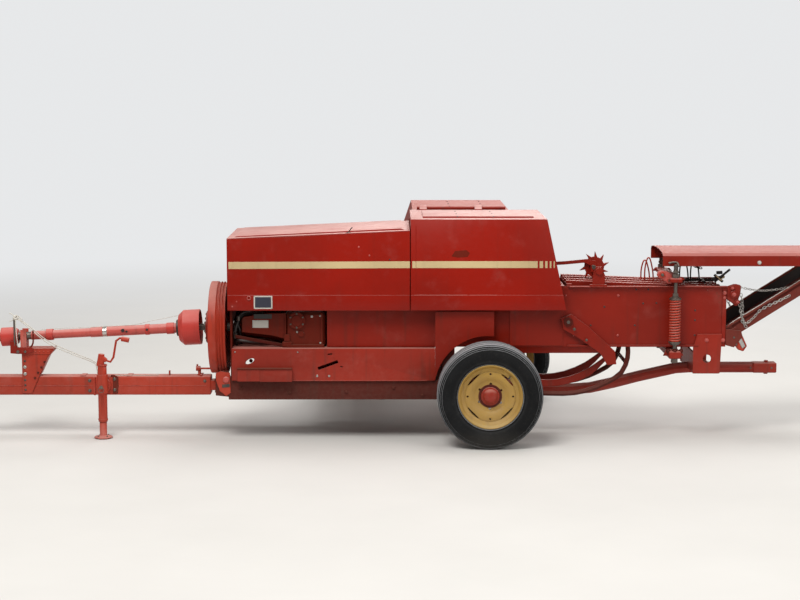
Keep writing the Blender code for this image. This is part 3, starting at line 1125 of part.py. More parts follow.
def metering_arm():
    """Arm from the knotters to the measuring wheel, and its stand on the case's left flange."""
    y = -0.034
    arm = outline([(0.360, 1.150), (0.520, 1.158), (0.660, 1.172), (0.725, 1.160), (0.765, 1.125), (0.755, 1.085), (0.725, 1.075),
                   (0.690, 1.090), (0.690, 1.130), (0.650, 1.148), (0.520, 1.136), (0.360, 1.126)], y - 0.004, y + 0.004)
    pin = rod((STAR_X, y - 0.010, STAR_Z), (STAR_X, 0.034, STAR_Z), STAR_PIN_R, 12)
    post = block(0.365, 0.395, y - 0.006, y + 0.002, CASE_DECK + 0.002, 1.140)
    foot = block(0.350, 0.410, y - 0.030, y + 0.030, CASE_DECK + GAP, CASE_DECK + 0.012)
    return link(fuse([arm, pin, post, foot]), "metering_arm", red_paint())


def trip_bracket():
    """Cast guide for the trip arm, bolted on the case's left flange."""
    z0 = CASE_Z1 - 0.001 + GAP
    foot = block(0.660, 0.770, -CASE_HALF - 0.030, -CASE_HALF - 0.001, z0, z0 + 0.012)
    face = outline([(0.675, z0 + 0.004), (0.755, z0 + 0.004), (0.760, z0 + 0.070), (0.735, z0 + 0.130), (0.700, z0 + 0.128),
                    (0.682, z0 + 0.080)], -CASE_HALF - 0.020, -CASE_HALF - 0.008)
    roller = rod((0.720, -CASE_HALF - 0.036, z0 + 0.100), (0.720, -CASE_HALF + 0.010, z0 + 0.100), 0.024, 10)
    return link(fuse([foot, face, roller]), "trip_bracket", dark_red_paint())


def rail_top(x):
    """Height of the density rails' upper face."""
    x0 = CASE_TOP_X1 + 0.012
    x1 = CASE_X1 - 0.015
    return 1.048 + (1.006 - 1.048) * (x - x0) / (x1 - x0)


def tension_rails():
    """Top density rails, drawn down towards the rear."""
    pieces = []
    x0 = CASE_TOP_X1 + 0.012
    x1 = CASE_X1 - 0.015
    for y in (-0.175, -0.062, 0.062, 0.175):
        pieces.append(outline([(x0, 1.008), (x1, 0.966), (x1, 1.006), (x0, 1.048)], y - 0.024, y + 0.024))
    pieces.append(block(x0 + 0.001, x0 + 0.034, -CASE_HALF + PLATE + GAP, CASE_HALF - PLATE - GAP, 1.010, 1.030))
    return link(fuse(pieces), "tension_rails", red_paint())


def tension_bar(name, z0, z1, lift, pads):
    """Cross bar that the springs act on, with an eye at each end and the pads it bears with."""
    end = TENSION_Y + 0.034
    bar = block(TENSION_X - 0.040, TENSION_X + 0.040, -end, end, z0, z1, bevel=0.006)
    ribs = [outline([(TENSION_X - 0.066, z0 + 0.010), (TENSION_X + 0.066, z0 + 0.010), (TENSION_X + 0.050, z1 + lift), (TENSION_X - 0.050, z1 + lift)],
                    y - 0.008, y + 0.008) for y in (-0.270, 0.270)]
    holes = [rod((TENSION_X, y, z0 - 0.1), (TENSION_X, y, z1 + 0.1), 0.0133, 12) for y in (-TENSION_Y, TENSION_Y)]
    feet = [outline(pads, y - 0.020, y + 0.020) for y in (-0.175, 0.175)]
    return link(fuse([bar] + ribs + feet, holes), name, dark_red_paint())


def tension_spring(name, side):
    """Heavy coil spring, closed coils, modelled turn by turn as a ridged sleeve."""
    pitch = (SPRING_Z1 - SPRING_Z0) / SPRING_TURNS
    wire = pitch * 0.42
    outer = []
    for k in range(SPRING_TURNS):
        z = SPRING_Z0 + pitch * (k + 0.5)
        outer += [(SPRING_R - wire * 0.85, z - pitch * 0.46), (SPRING_R, z)]
    outer.append((SPRING_R - wire * 0.85, SPRING_Z1 - 0.001))
    inner = SPRING_R - 2 * wire
    profile = outer + [(inner, SPRING_Z1 - 0.001), (inner, SPRING_Z0 + pitch * 0.04)]
    return link(smooth(turned(profile, (TENSION_X, side * TENSION_Y, 0), "Z", 10), 50), name, red_paint())


def tension_rod(name, side):
    y = side * TENSION_Y
    shaft = rod((TENSION_X, y, 0.548), (TENSION_X, y, 1.165), 0.0127, 8)
    seat0 = rod((TENSION_X, y, SPRING_Z0 - 0.014), (TENSION_X, y, SPRING_Z0 - GAP), 0.036, 10)
    seat1 = rod((TENSION_X, y, SPRING_Z1 - 0.001 + GAP), (TENSION_X, y, SPRING_Z1 + 0.012), 0.036, 10)
    nut = rod((TENSION_X, y, 0.522), (TENSION_X, y, 0.5505), 0.024, 6)
    top = rod((TENSION_X, y, 1.0785), (TENSION_X, y, 1.102), 0.024, 6)
    return link(fuse([shaft, seat0, seat1, nut, top]), name, bare_steel())


def pivot_empty(name, where, parent):
    empty = bpy.data.objects.new(name, None)
    empty.empty_display_size = 0.1
    collection("square_baler_parts").objects.link(empty)
    empty.parent = parent
    empty.location = Vector(where) - Vector(parent["at"])
    empty["at"] = Vector(where)
    return empty


def carry(empty, objects):
    """Hang objects on an empty without moving them."""
    at = Vector(empty["at"])
    for obj in objects:
        obj.data.transform(Matrix.Translation(-at))
        obj.parent = empty


def build():
    purge()
    px0 = TENSION_X - 0.038
    px1 = TENSION_X + 0.038
    low_pad = [(px0, 0.590), (px1, 0.590), (px1, CASE_Z0 - GAP), (px0, CASE_Z0 - GAP)]
    top_pad = [(px0, rail_top(px0) + GAP), (px1, rail_top(px1) + GAP), (px1, 1.056), (px0, 1.056)]
    fixed = [bale_case(), main_frame(), case_stand("case_stand_front", -0.300, -0.220), case_stand("case_stand_rear", -0.092, -0.012),
             front_box(), arch_panel(), gearbox(), input_shaft(), front_bulkhead(), twine_box(), knotter("knotter_left", -0.115),
             knotter("knotter_right", 0.115), knotter_shaft(), feeder_housing(), feeder_tines(), windguard(), wagon_hitch(),
             needles(), needle_guard(), chute_lower(), metering_arm(), trip_bracket(), tension_rails(),
             tension_bar("tension_bar_lower", 0.5508, 0.6000, -0.004, low_pad), tension_bar("tension_bar_upper", 1.0500, 1.0782, 0.002, top_pad),
             tension_spring("tension_spring_left", -1), tension_spring("tension_spring_right", 1),
             tension_rod("tension_rod_left", -1), tension_rod("tension_rod_right", 1)]
    fixed += needle_pivots()
    fixed += chute_brackets()
    root = bpy.data.objects.new("square_baler", None)
    collection("square_baler_parts").objects.link(root)
    root["at"] = Vector((0, 0, 0))
    hang = []
    hang.append((root, fixed))

    tongue_at = pivot_empty("tongue_axis", (TONGUE_PIVOT_X, DRIVE_Y, 0.340), root)
    hang.append((tongue_at, [tongue(), drive_stand()]))
    jack_at = pivot_empty("jack_axis", (JACK_X, JACK_Y, JACK_PIVOT_Z), tongue_at)
    hang.append((jack_at, [jack_tube(), jack_leg()]))
    drive_at = pivot_empty("driveline_axis", (JOINT_X, DRIVE_Y, DRIVE_Z), root)
    hang.append((drive_at, [driveline(), bell("driveline_bell_rear", 0.110, 0.142, BELL_R, -0.1, SHIELD_R),
                            bell("driveline_bell_front", 1.180, 0.110, 0.062, 0.1, YOKE_R), driveline_yoke()]))
    fly_at = pivot_empty("flywheel_axis", (FLY_X0, DRIVE_Y, DRIVE_Z), root)
    hang.append((fly_at, [flywheel(), slip_clutch()]))

    left_at = pivot_empty("left_wheel_axis", (0, L_WHEEL_Y, L_TYRE_R), root)
    hang.append((left_at, [tyre("left_tyre", 0, L_WHEEL_Y, L_TYRE_R, L_TYRE_R, L_TYRE_W, L_RIM_R),
                           rim("left_rim", 0, L_WHEEL_Y, L_TYRE_R, L_TYRE_W, L_RIM_R, -1),
                           hub("left_hub", 0, L_WHEEL_Y, L_TYRE_R, L_TYRE_W, -1)]))
    right_at = pivot_empty("right_wheel_axis", (R_WHEEL_X, R_WHEEL_Y, R_TYRE_R), root)
    hang.append((right_at, [tyre("right_tyre", R_WHEEL_X, R_WHEEL_Y, R_TYRE_R, R_TYRE_R, R_TYRE_W, R_RIM_R),
                            rim("right_rim", R_WHEEL_X, R_WHEEL_Y, R_TYRE_R, R_TYRE_W, R_RIM_R, 1),
                            hub("right_hub", R_WHEEL_X, R_WHEEL_Y, R_TYRE_R, R_TYRE_W, 1)]))

    pick_at = pivot_empty("pickup_axis", (PICK_PIVOT_X, PICK_Y0, PICK_PIVOT_Z), root)
    hang.append((pick_at, [pickup_body()]))
    reel_at = pivot_empty("reel_axis", (REEL_X, PICK_Y0, REEL_Z), pick_at)
    hang.append((reel_at, [pickup_reel()]))
    gauge_at = pivot_empty("gauge_wheel_axis", (GAUGE_X, PICK_Y1 + 0.02, GAUGE_Z), pick_at)
    hang.append((gauge_at, [gauge_wheel()]))

    shield_at = pivot_empty("left_shield_axis", (FRONT_X0, HOOD_Y, FRONT_Z0 - 0.0055), root)
    hang.append((shield_at, [left_shield()]))
    lid_at = pivot_empty("twine_lid_axis", (FRONT_X0, TWINE_FAR_Y + 0.006, FRONT_Z0), root)
    hang.append((lid_at, [twine_lid()]))
    hood_at = pivot_empty("knotter_hood_axis", (0, HOOD_FAR_Y + 0.022, KNOT_Z1 + 0.010), root)
    hang.append((hood_at, [knotter_hood()]))
    ext_at = pivot_empty("chute_extension_axis", (EXT_HINGE_X, 0, EXT_HINGE_Z), root)
    hang.append((ext_at, [chute_extension()]))
    star_at = pivot_empty("star_wheel_axis", (STAR_X, 0, STAR_Z), root)
    hang.append((star_at, [star_wheel()]))

    low = Vector((1e9, 1e9, 1e9))
    high = Vector((-1e9, -1e9, -1e9))
    for _, objects in hang:
        for obj in objects:
            for vert in obj.data.vertices:
                for axis in range(3):
                    low[axis] = min(low[axis], vert.co[axis])
                    high[axis] = max(high[axis], vert.co[axis])
    for empty, objects in hang:
        carry(empty, objects)
    root.location = (-(low.x + high.x) / 2, -(low.y + high.y) / 2, -low.z)
    bpy.context.view_layer.update()


build()
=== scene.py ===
"""Looks of a towed square baler: weathered paint, running gear, fasteners, springs, chains and twine."""
import math
import random

import bmesh
import bpy
from mathutils import Matrix, Vector


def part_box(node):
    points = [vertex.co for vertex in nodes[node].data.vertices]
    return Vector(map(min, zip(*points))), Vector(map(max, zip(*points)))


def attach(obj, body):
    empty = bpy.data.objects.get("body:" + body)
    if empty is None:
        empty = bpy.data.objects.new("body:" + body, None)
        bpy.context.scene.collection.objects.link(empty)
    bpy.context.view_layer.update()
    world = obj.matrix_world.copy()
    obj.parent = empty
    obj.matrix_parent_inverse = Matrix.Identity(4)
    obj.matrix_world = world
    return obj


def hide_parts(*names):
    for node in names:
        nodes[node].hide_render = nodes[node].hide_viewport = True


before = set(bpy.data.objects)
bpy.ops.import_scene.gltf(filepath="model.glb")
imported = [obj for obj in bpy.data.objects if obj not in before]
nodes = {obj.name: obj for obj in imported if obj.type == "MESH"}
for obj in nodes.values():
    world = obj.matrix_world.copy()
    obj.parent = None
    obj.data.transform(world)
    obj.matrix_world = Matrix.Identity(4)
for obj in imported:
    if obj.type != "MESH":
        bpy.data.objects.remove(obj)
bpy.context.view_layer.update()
scene = bpy.context.scene

# The baler's own datum: X from the left wheel's axle, Y from the bale case's middle.
left_low, left_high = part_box("left_tyre")
case_low, case_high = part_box("bale_case")
AXLE_X = (left_low[0] + left_high[0]) / 2
CASE_Y = (case_low[1] + case_high[1]) / 2
DATUM = Vector((AXLE_X, CASE_Y, 0.0))

# Places that several pieces share, in that datum.
CAMERA_AT = (-0.617, -11.62, 2.384)
HOOD_FACE = -0.340
CASE_FACE = -0.2452
BOX_FACE = -0.3005
GEARBOX_FACE = -0.2305
TONGUE_SIDE = -0.1302
TONGUE_TOP = 0.4022
HOUSING_FAR = 1.4302
SHAFT_X, SHAFT_Y, SHAFT_Z = -1.930, -0.080, 0.725
SHAFT_SLOPE = math.tan(math.radians(2.97))
JACK_X, JACK_Y = -2.540, -0.200
ROD_X, ROD_Y = 1.212, 0.315


# ---------------------------------------------------------------- shader groups

def socket_in(tree, name, kind, value=None):
    item = tree.interface.new_socket(name=name, in_out="INPUT", socket_type=kind)
    if value is not None:
        item.default_value = value
    return item


def socket_out(tree, name, kind):
    return tree.interface.new_socket(name=name, in_out="OUTPUT", socket_type=kind)


class Web:
    """Adds nodes to one tree and joins them."""

    def __init__(self, tree):
        self.tree = tree
        self.x = 0

    def add(self, kind, **settings):
        node = self.tree.nodes.new(kind)
        self.x += 40
        node.location = (self.x, 0)
        for key, value in settings.items():
            setattr(node, key, value)
        return node

    def join(self, out, into):
        self.tree.links.new(out, into)

    def feed(self, socket, value):
        if isinstance(value, bpy.types.NodeSocket):
            self.join(value, socket)
        elif isinstance(value, (tuple, list)) and len(value) == 3 and socket.type == "RGBA":
            socket.default_value = (*value, 1.0)
        else:
            socket.default_value = value

    def maths(self, operation, a, b=0.0, clamp=False):
        node = self.add("ShaderNodeMath", operation=operation, use_clamp=clamp)
        self.feed(node.inputs[0], a)
        self.feed(node.inputs[1], b)
        return node.outputs[0]

    def span(self, value, low, high, to_low=0.0, to_high=1.0):
        node = self.add("ShaderNodeMapRange", interpolation_type="SMOOTHSTEP")
        self.feed(node.inputs["Value"], value)
        self.feed(node.inputs["From Min"], low)
        self.feed(node.inputs["From Max"], high)
        self.feed(node.inputs["To Min"], to_low)
        self.feed(node.inputs["To Max"], to_high)
        return node.outputs[0]

    def blend(self, amount, a, b):
        node = self.add("ShaderNodeMix", data_type="RGBA")
        self.feed(node.inputs["Factor"], amount)
        self.feed(node.inputs["A"], a)
        self.feed(node.inputs["B"], b)
        return node.outputs["Result"]

    def noise(self, vector, scale, detail=3.0, rough=0.55):
        node = self.add("ShaderNodeTexNoise")
        self.feed(node.inputs["Vector"], vector)
        self.feed(node.inputs["Scale"], scale)
        self.feed(node.inputs["Detail"], detail)
        self.feed(node.inputs["Roughness"], rough)
        return node.outputs["Fac"]

    def stretched(self, vector, scale):
        node = self.add("ShaderNodeMapping")
        self.feed(node.inputs["Vector"], vector)
        node.inputs["Scale"].default_value = scale
        return node.outputs["Vector"]


def weathering_group():
    """Sun-faded, dusty and chipped coat: colour, roughness, height and a wear mask."""
    tree = bpy.data.node_groups.new("weathering", "ShaderNodeTree")
    socket_in(tree, "Vector", "NodeSocketVector")
    socket_in(tree, "Coat Colour", "NodeSocketColor", (0.3, 0.02, 0.01, 1))
    socket_in(tree, "Faded Colour", "NodeSocketColor", (0.6, 0.3, 0.28, 1))
    socket_in(tree, "Rust Colour", "NodeSocketColor", (0.10, 0.035, 0.018, 1))
    socket_in(tree, "Dust Colour", "NodeSocketColor", (0.36, 0.30, 0.25, 1))
    socket_in(tree, "Fade", "NodeSocketFloat", 0.7)
    socket_in(tree, "Wear", "NodeSocketFloat", 0.4)
    socket_in(tree, "Dust", "NodeSocketFloat", 0.3)
    socket_in(tree, "Stain", "NodeSocketFloat", 0.3)
    socket_in(tree, "Gloss", "NodeSocketFloat", 0.4)
    for name, kind in (("Colour", "NodeSocketColor"), ("Roughness", "NodeSocketFloat"),
            ("Height", "NodeSocketFloat"), ("Wear Mask", "NodeSocketFloat"), ("Normal", "NodeSocketVector")):
        socket_out(tree, name, kind)
    web = Web(tree)
    given = web.add("NodeGroupInput").outputs
    vector = given["Vector"]
    cloud = web.noise(vector, 1.7, 4.0)
    patch = web.noise(vector, 7.0, 5.0, 0.6)
    fine = web.noise(vector, 42.0, 4.0, 0.62)
    grit = web.noise(vector, 240.0, 2.0)
    streak = web.noise(web.stretched(vector, (26.0, 26.0, 1.6)), 1.0, 3.0, 0.5)
    geometry = web.add("ShaderNodeNewGeometry")
    split = web.add("ShaderNodeSeparateXYZ")
    web.join(geometry.outputs["Normal"], split.inputs[0])
    up = web.span(split.outputs["Z"], 0.30, 0.92)
    bevel = web.add("ShaderNodeBevel", samples=4)
    bevel.inputs["Radius"].default_value = 0.0035
    dot = web.add("ShaderNodeVectorMath", operation="DOT_PRODUCT")
    web.join(bevel.outputs["Normal"], dot.inputs[0])
    web.join(geometry.outputs["Normal"], dot.inputs[1])
    edge = web.span(dot.outputs["Value"], 0.985, 0.80)
    place = web.add("ShaderNodeSeparateXYZ")
    web.join(vector, place.inputs[0])
    low = web.span(place.outputs["Z"], 0.75, 0.05)
    # base colour with slow changes of tone
    darker = web.blend(0.45, given["Coat Colour"], (0.020, 0.004, 0.002))
    tone = web.blend(web.span(cloud, 0.34, 0.74, 0.0, 0.50), given["Coat Colour"], darker)
    lighter = web.blend(web.maths("MULTIPLY", web.span(patch, 0.52, 0.80),
        web.maths("MULTIPLY", given["Wear"], 0.16)), tone, given["Faded Colour"])
    stained = web.blend(web.maths("MULTIPLY", web.span(streak, 0.52, 0.80), given["Stain"]), lighter,
        (0.055, 0.018, 0.012))
    fade = web.maths("MULTIPLY", up, given["Fade"])
    fade = web.maths("MULTIPLY", fade, web.span(patch, 0.10, 0.75, 0.55, 1.0), True)
    faded = web.blend(fade, stained, given["Faded Colour"])
    dust = web.maths("MULTIPLY", web.maths("ADD", web.maths("MULTIPLY", low, 0.75),
        web.maths("MULTIPLY", up, 0.35)), given["Dust"])
    dust = web.maths("MULTIPLY", dust, web.span(fine, 0.25, 0.80, 0.35, 1.15), True)
    dusty = web.blend(dust, faded, given["Dust Colour"])
    chip = web.maths("MULTIPLY", edge, web.span(fine, 0.42, 0.60))
    speck = web.span(web.maths("ADD", web.maths("MULTIPLY", patch, 0.55), web.maths("MULTIPLY", fine, 0.45)),
        0.640, 0.675)
    wear = web.maths("MULTIPLY", web.maths("ADD", chip, web.maths("MULTIPLY", speck, 0.55)), given["Wear"],
        True)
    worn = web.blend(wear, dusty, given["Rust Colour"])
    rough = web.maths("ADD", given["Gloss"], web.maths("MULTIPLY", fade, 0.22))
    rough = web.maths("ADD", rough, web.maths("MULTIPLY", dust, 0.30))
    rough = web.maths("ADD", rough, web.maths("MULTIPLY", wear, 0.30))
    rough = web.maths("ADD", rough, web.span(fine, 0.2, 0.8, -0.05, 0.06), True)
    height = web.maths("SUBTRACT", web.maths("MULTIPLY", grit, 0.10), web.maths("MULTIPLY", wear, 0.60))
    height = web.maths("ADD", height, web.maths("MULTIPLY", cloud, 1.10))
    result = web.add("NodeGroupOutput").inputs
    web.join(worn, result["Colour"])
    web.join(rough, result["Roughness"])
    web.join(height, result["Height"])
    web.join(wear, result["Wear Mask"])
    web.join(bevel.outputs["Normal"], result["Normal"])
    return tree


WEATHERING = weathering_group()


def shader_of(mat):
    return mat.node_tree.nodes["Principled BSDF"]


def weathered(name, coat, faded, rust=(0.115, 0.040, 0.020), dust_colour=(0.33, 0.27, 0.22), fade=0.7, wear=0.4,
        dust=0.3, stain=0.3, gloss=0.38, metal=0.0, bump=0.25, specular=0.5):
    mat = bpy.data.materials.new(name)
    mat.use_nodes = True
    web = Web(mat.node_tree)
    shader = shader_of(mat)
    where = web.add("ShaderNodeTexCoord")
    node = web.add("ShaderNodeGroup")
    node.node_tree = WEATHERING
    web.join(where.outputs["Object"], node.inputs["Vector"])
    for key, value in (("Coat Colour", coat), ("Faded Colour", faded), ("Rust Colour", rust),
            ("Dust Colour", dust_colour), ("Fade", fade), ("Wear", wear), ("Dust", dust), ("Stain", stain),
            ("Gloss", gloss)):
        web.feed(node.inputs[key], value)
    web.join(node.outputs["Colour"], shader.inputs["Base Color"])
    web.join(node.outputs["Roughness"], shader.inputs["Roughness"])
    lift = web.add("ShaderNodeBump")
    lift.inputs["Strength"].default_value = bump
    lift.inputs["Distance"].default_value = 0.004
    web.join(node.outputs["Height"], lift.inputs["Height"])
    web.join(node.outputs["Normal"], lift.inputs["Normal"])
    web.join(lift.outputs["Normal"], shader.inputs["Normal"])
    shader.inputs["Metallic"].default_value = metal
    shader.inputs["Specular IOR Level"].default_value = specular
    mat.diffuse_color = (*coat, 1.0)
    return mat


# ---------------------------------------------------------------- materials

FADED_RED = (0.60, 0.37, 0.35)
red = weathered("hood_red", (0.268, 0.0068, 0.0012), FADED_RED, fade=0.86, wear=0.28, dust=0.01, stain=0.10,
    gloss=0.34, specular=0.18)
case_red = weathered("case_red", (0.232, 0.0100, 0.0028), (0.46, 0.185, 0.165), fade=0.72, wear=0.60, dust=0.08,
    stain=0.40, gloss=0.44, specular=0.20)
frame_red = weathered("frame_red", (0.290, 0.0180, 0.0075), (0.50, 0.22, 0.19), fade=0.72, wear=0.75, dust=0.14,
    stain=0.45, gloss=0.48, bump=0.4, specular=0.22)
dusty_red = weathered("dusty_red", (0.400, 0.0330, 0.0135), (0.56, 0.27, 0.24), fade=0.70, wear=0.75, dust=0.14,
    stain=0.40, gloss=0.46, bump=0.4, specular=0.25)
sunned_red = weathered("sunned_red", (0.470, 0.082, 0.068), (0.64, 0.34, 0.32), fade=0.68, wear=0.5, dust=0.08,
    stain=0.22, gloss=0.40, specular=0.30)
bell_red = weathered("bell_red", (0.500, 0.045, 0.035), (0.64, 0.25, 0.23), fade=0.60, wear=0.4, dust=0.06,
    stain=0.20, gloss=0.42, specular=0.25)
chute_red = weathered("chute_red", (0.150, 0.0240, 0.0160), (0.34, 0.17, 0.15), fade=0.6, wear=0.85, dust=0.20,
    stain=0.65, gloss=0.50, bump=0.4, specular=0.2)
# Red coat darkened for painted shade: the gearbox, bulkhead, screens, cradle strap and other recessed parts get
# the shade painted into their colour.
half_shade_red = weathered("red_in_half_shade", (0.135, 0.0095, 0.0024), (0.24, 0.075, 0.05), fade=0.45, wear=0.8,
    dust=0.14, stain=0.55, gloss=0.58, bump=0.4, specular=0.15)
# Red coat darkened for painted shade: the chassis, stands, needle pivots, needle guard, strut and the bolts under
# the machine get the shade painted into their colour.
deep_shade_red = weathered("deep_shade_red", (0.078, 0.0068, 0.0034), (0.26, 0.09, 0.07), fade=0.5, wear=0.8,
    dust=0.13, stain=0.6, gloss=0.58, bump=0.45, specular=0.15)
rim_yellow = weathered("rim_yellow", (0.400, 0.235, 0.034), (0.62, 0.50, 0.22), rust=(0.16, 0.075, 0.030),
    dust_colour=(0.34, 0.24, 0.14), fade=0.5, wear=0.75, dust=0.45, stain=0.35, gloss=0.46)
steel = weathered("oily_steel", (0.150, 0.130, 0.115), (0.30, 0.27, 0.24), rust=(0.13, 0.050, 0.026), fade=0.3,
    wear=0.55, dust=0.35, stain=0.5, gloss=0.40, metal=0.75)
bright = weathered("bright_steel", (0.55, 0.54, 0.52), (0.60, 0.58, 0.55), rust=(0.22, 0.12, 0.07), fade=0.2,
    wear=0.25, dust=0.12, stain=0.15, gloss=0.30, metal=0.95)
black = weathered("black_paint", (0.018, 0.017, 0.017), (0.16, 0.14, 0.13), fade=0.5, wear=0.5, dust=0.3,
    stain=0.2, gloss=0.45)
cream = weathered("stripe_cream", (0.585, 0.455, 0.245), (0.66, 0.56, 0.38), fade=0.2, wear=0.25, dust=0.08,
    stain=0.10, gloss=0.40, bump=0.05)
plate_dark = weathered("plate_dark", (0.020, 0.026, 0.048), (0.10, 0.10, 0.12), fade=0.2, wear=0.2, dust=0.08,
    stain=0.1, gloss=0.35, bump=0.05)
plate_pale = weathered("plate_pale", (0.55, 0.54, 0.50), (0.6, 0.6, 0.58), fade=0.2, wear=0.3, dust=0.1,
    stain=0.15, gloss=0.45, bump=0.05)
twine_white = weathered("twine_white", (0.62, 0.60, 0.55), (0.66, 0.64, 0.6), rust=(0.3, 0.25, 0.2), fade=0.2,
    wear=0.2, dust=0.2, stain=0.1, gloss=0.8, bump=0.1)


def rubber_material():
    """Sun-greyed tyre: pale tread where the surface faces outwards, dust near the ground."""
    mat = bpy.data.materials.new("tyre_side")
    mat.use_nodes = True
    web = Web(mat.node_tree)
    shader = shader_of(mat)
    where = web.add("ShaderNodeTexCoord").outputs["Object"]
    fine = web.noise(where, 60.0, 4.0)
    patch = web.noise(where, 9.0, 4.0)
    geometry = web.add("ShaderNodeNewGeometry")
    split = web.add("ShaderNodeSeparateXYZ")
    web.join(geometry.outputs["Normal"], split.inputs[0])
    crown = web.span(web.maths("ABSOLUTE", split.outputs["Y"]), 0.93, 0.45)
    place = web.add("ShaderNodeSeparateXYZ")
    web.join(where, place.inputs[0])
    low = web.span(place.outputs["Z"], 0.16, 0.0)
    base = web.blend(web.span(patch, 0.3, 0.7), (0.0045, 0.0050, 0.0060), (0.0085, 0.0092, 0.0105))
    grey = web.blend(web.maths("MULTIPLY", crown, web.span(fine, 0.2, 0.8, 0.65, 1.0)), base,
        (0.340, 0.355, 0.380))
    amount = web.maths("ADD", web.maths("MULTIPLY", low, 0.10), web.maths("MULTIPLY", web.span(fine, 0.5, 0.8),
        0.05), True)
    dusty = web.blend(amount, grey, (0.26, 0.235, 0.205))
    web.join(dusty, shader.inputs["Base Color"])
    shader.inputs["Specular IOR Level"].default_value = 0.15
    web.join(web.span(fine, 0.2, 0.8, 0.62, 0.82), shader.inputs["Roughness"])
    lift = web.add("ShaderNodeBump")
    lift.inputs["Strength"].default_value = 0.25
    lift.inputs["Distance"].default_value = 0.003
    web.join(fine, lift.inputs["Height"])
    web.join(lift.outputs["Normal"], shader.inputs["Normal"])
    return mat


rubber = rubber_material()


# ---------------------------------------------------------------- making pieces

def at(x, y, z):
    """Point given in the baler's datum, in the frame's own axes."""
    return Vector((x, y, z)) + DATUM


def settle(obj, mat, body, stands_for=()):
    """Gives a finished piece its material and body."""
    if mat is not None:
        obj.data.materials.clear()
        obj.data.materials.append(mat)
    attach(obj, body)
    if stands_for:
        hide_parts(*stands_for)
    return obj


def upright_ring(x, y, z, radius, steps=24):
    """Points of an upright circle that faces the near side, given in the baler's datum."""
    turns = [math.tau * i / steps for i in range(steps)]
    return [at(x + radius * math.cos(turn), y, z + radius * math.sin(turn)) for turn in turns]


def piece_from(bm, name):
    mesh = bpy.data.meshes.new(name)
    bmesh.ops.recalc_face_normals(bm, faces=bm.faces[:])
    bm.to_mesh(mesh)
    bm.free()
    obj = bpy.data.objects.new(name, mesh)
    scene.collection.objects.link(obj)
    return obj


def soften(obj, angle=35.0):
    obj.data.shade_smooth()
    obj.data.set_sharp_from_angle(angle=math.radians(angle))
    return obj


def finished(obj):
    """Plain mesh object from an object with live modifiers or a curve."""
    name = obj.name
    bpy.context.view_layer.update()
    deps = bpy.context.evaluated_depsgraph_get()
    mesh = bpy.data.meshes.new_from_object(obj.evaluated_get(deps))
    mesh.transform(obj.matrix_world)
    bpy.data.objects.remove(obj, do_unlink=True)
    out = bpy.data.objects.new(name, mesh)
    mesh.name = name
    scene.collection.objects.link(out)
    return out


def joined(name, objs):
    """One piece from several mesh objects."""
    bm = bmesh.new()
    for obj in objs:
        bm.from_mesh(obj.data)
        bpy.data.objects.remove(obj, do_unlink=True)
    mesh = bpy.data.meshes.new(name)
    bm.to_mesh(mesh)
    bm.free()
    out = bpy.data.objects.new(name, mesh)
    scene.collection.objects.link(out)
    return out


TURN = {"X": Matrix.Rotation(math.radians(90), 4, "Y"), "Y": Matrix.Rotation(math.radians(-90), 4, "X"),
    "Z": Matrix.Identity(4)}


def lathe(name, profile, centre, axis="Y", steps=96, angle=30.0):
    """Turned form from a closed profile of (radius, height)."""
    bm = bmesh.new()
    rings = []
    for radius, height in profile:
        if radius <= 1e-6:
            rings.append([bm.verts.new((0, 0, height))])
        else:
            rings.append([bm.verts.new((radius * math.cos(math.tau * i / steps),
                radius * math.sin(math.tau * i / steps), height)) for i in range(steps)])
    count = len(rings)
    for k in range(count):
        a, b = rings[k], rings[(k + 1) % count]
        if len(a) == 1 and len(b) == 1:
            continue
        for i in range(steps):
            j = (i + 1) % steps
            if len(a) == 1:
                bm.faces.new((a[0], b[j], b[i]))
            elif len(b) == 1:
                bm.faces.new((a[i], a[j], b[0]))
            else:
                bm.faces.new((a[i], a[j], b[j], b[i]))
    bmesh.ops.transform(bm, matrix=Matrix.Translation(centre) @ TURN[axis], verts=bm.verts)
    return soften(piece_from(bm, name), angle)


def slab(bm, low, high):
    """Adds a box between two corners to a mesh."""
    made = bmesh.ops.create_cube(bm, size=1.0)["verts"]
    size = Vector(high) - Vector(low)
    bmesh.ops.scale(bm, vec=size, verts=made)
    bmesh.ops.translate(bm, vec=(Vector(high) + Vector(low)) / 2, verts=made)
    return made


def bar(bm, start, end, radius, sides=12):
    """Adds a round bar between two points to a mesh."""
    a, b = Vector(start), Vector(end)
    made = bmesh.ops.create_cone(bm, cap_ends=True, segments=sides, radius1=radius, radius2=radius,
        depth=(b - a).length)["verts"]
    turn = (b - a).to_track_quat("Z", "Y").to_matrix().to_4x4()
    bmesh.ops.transform(bm, matrix=Matrix.Translation((a + b) / 2) @ turn, verts=made)
    return made


def pipe(name, points, radius, sides=16, closed=False):
    """Round pipe on a smooth run through the points."""
    curve = bpy.data.curves.new(name, "CURVE")
    curve.dimensions = "3D"
    curve.bevel_depth = radius
    curve.bevel_resolution = max(0, sides // 2 - 2)
    curve.use_fill_caps = not closed
    spline = curve.splines.new("POLY")
    spline.points.add(len(points) - 1)
    for point, place in zip(spline.points, points):
        point.co = (*place, 1.0)
    spline.use_cyclic_u = closed
    obj = bpy.data.objects.new(name, curve)
    scene.collection.objects.link(obj)
    out = finished(obj)
    return soften(out, 40)


def flowing(points, steps):
    """Smooth run of points through the given ones."""
    pts = [Vector(p) for p in points]
    pts = [pts[0] * 2 - pts[1]] + pts + [pts[-1] * 2 - pts[-2]]
    out = []
    for i in range(1, len(pts) - 2):
        p0, p1, p2, p3 = pts[i - 1:i + 3]
        for s in range(steps):
            t = s / steps
            out.append(0.5 * (2 * p1 + (p2 - p0) * t + (2 * p0 - 5 * p1 + 4 * p2 - p3) * t * t
                              + (3 * p1 - p0 - 3 * p2 + p3) * t ** 3))
    out.append(pts[-2])
    return out


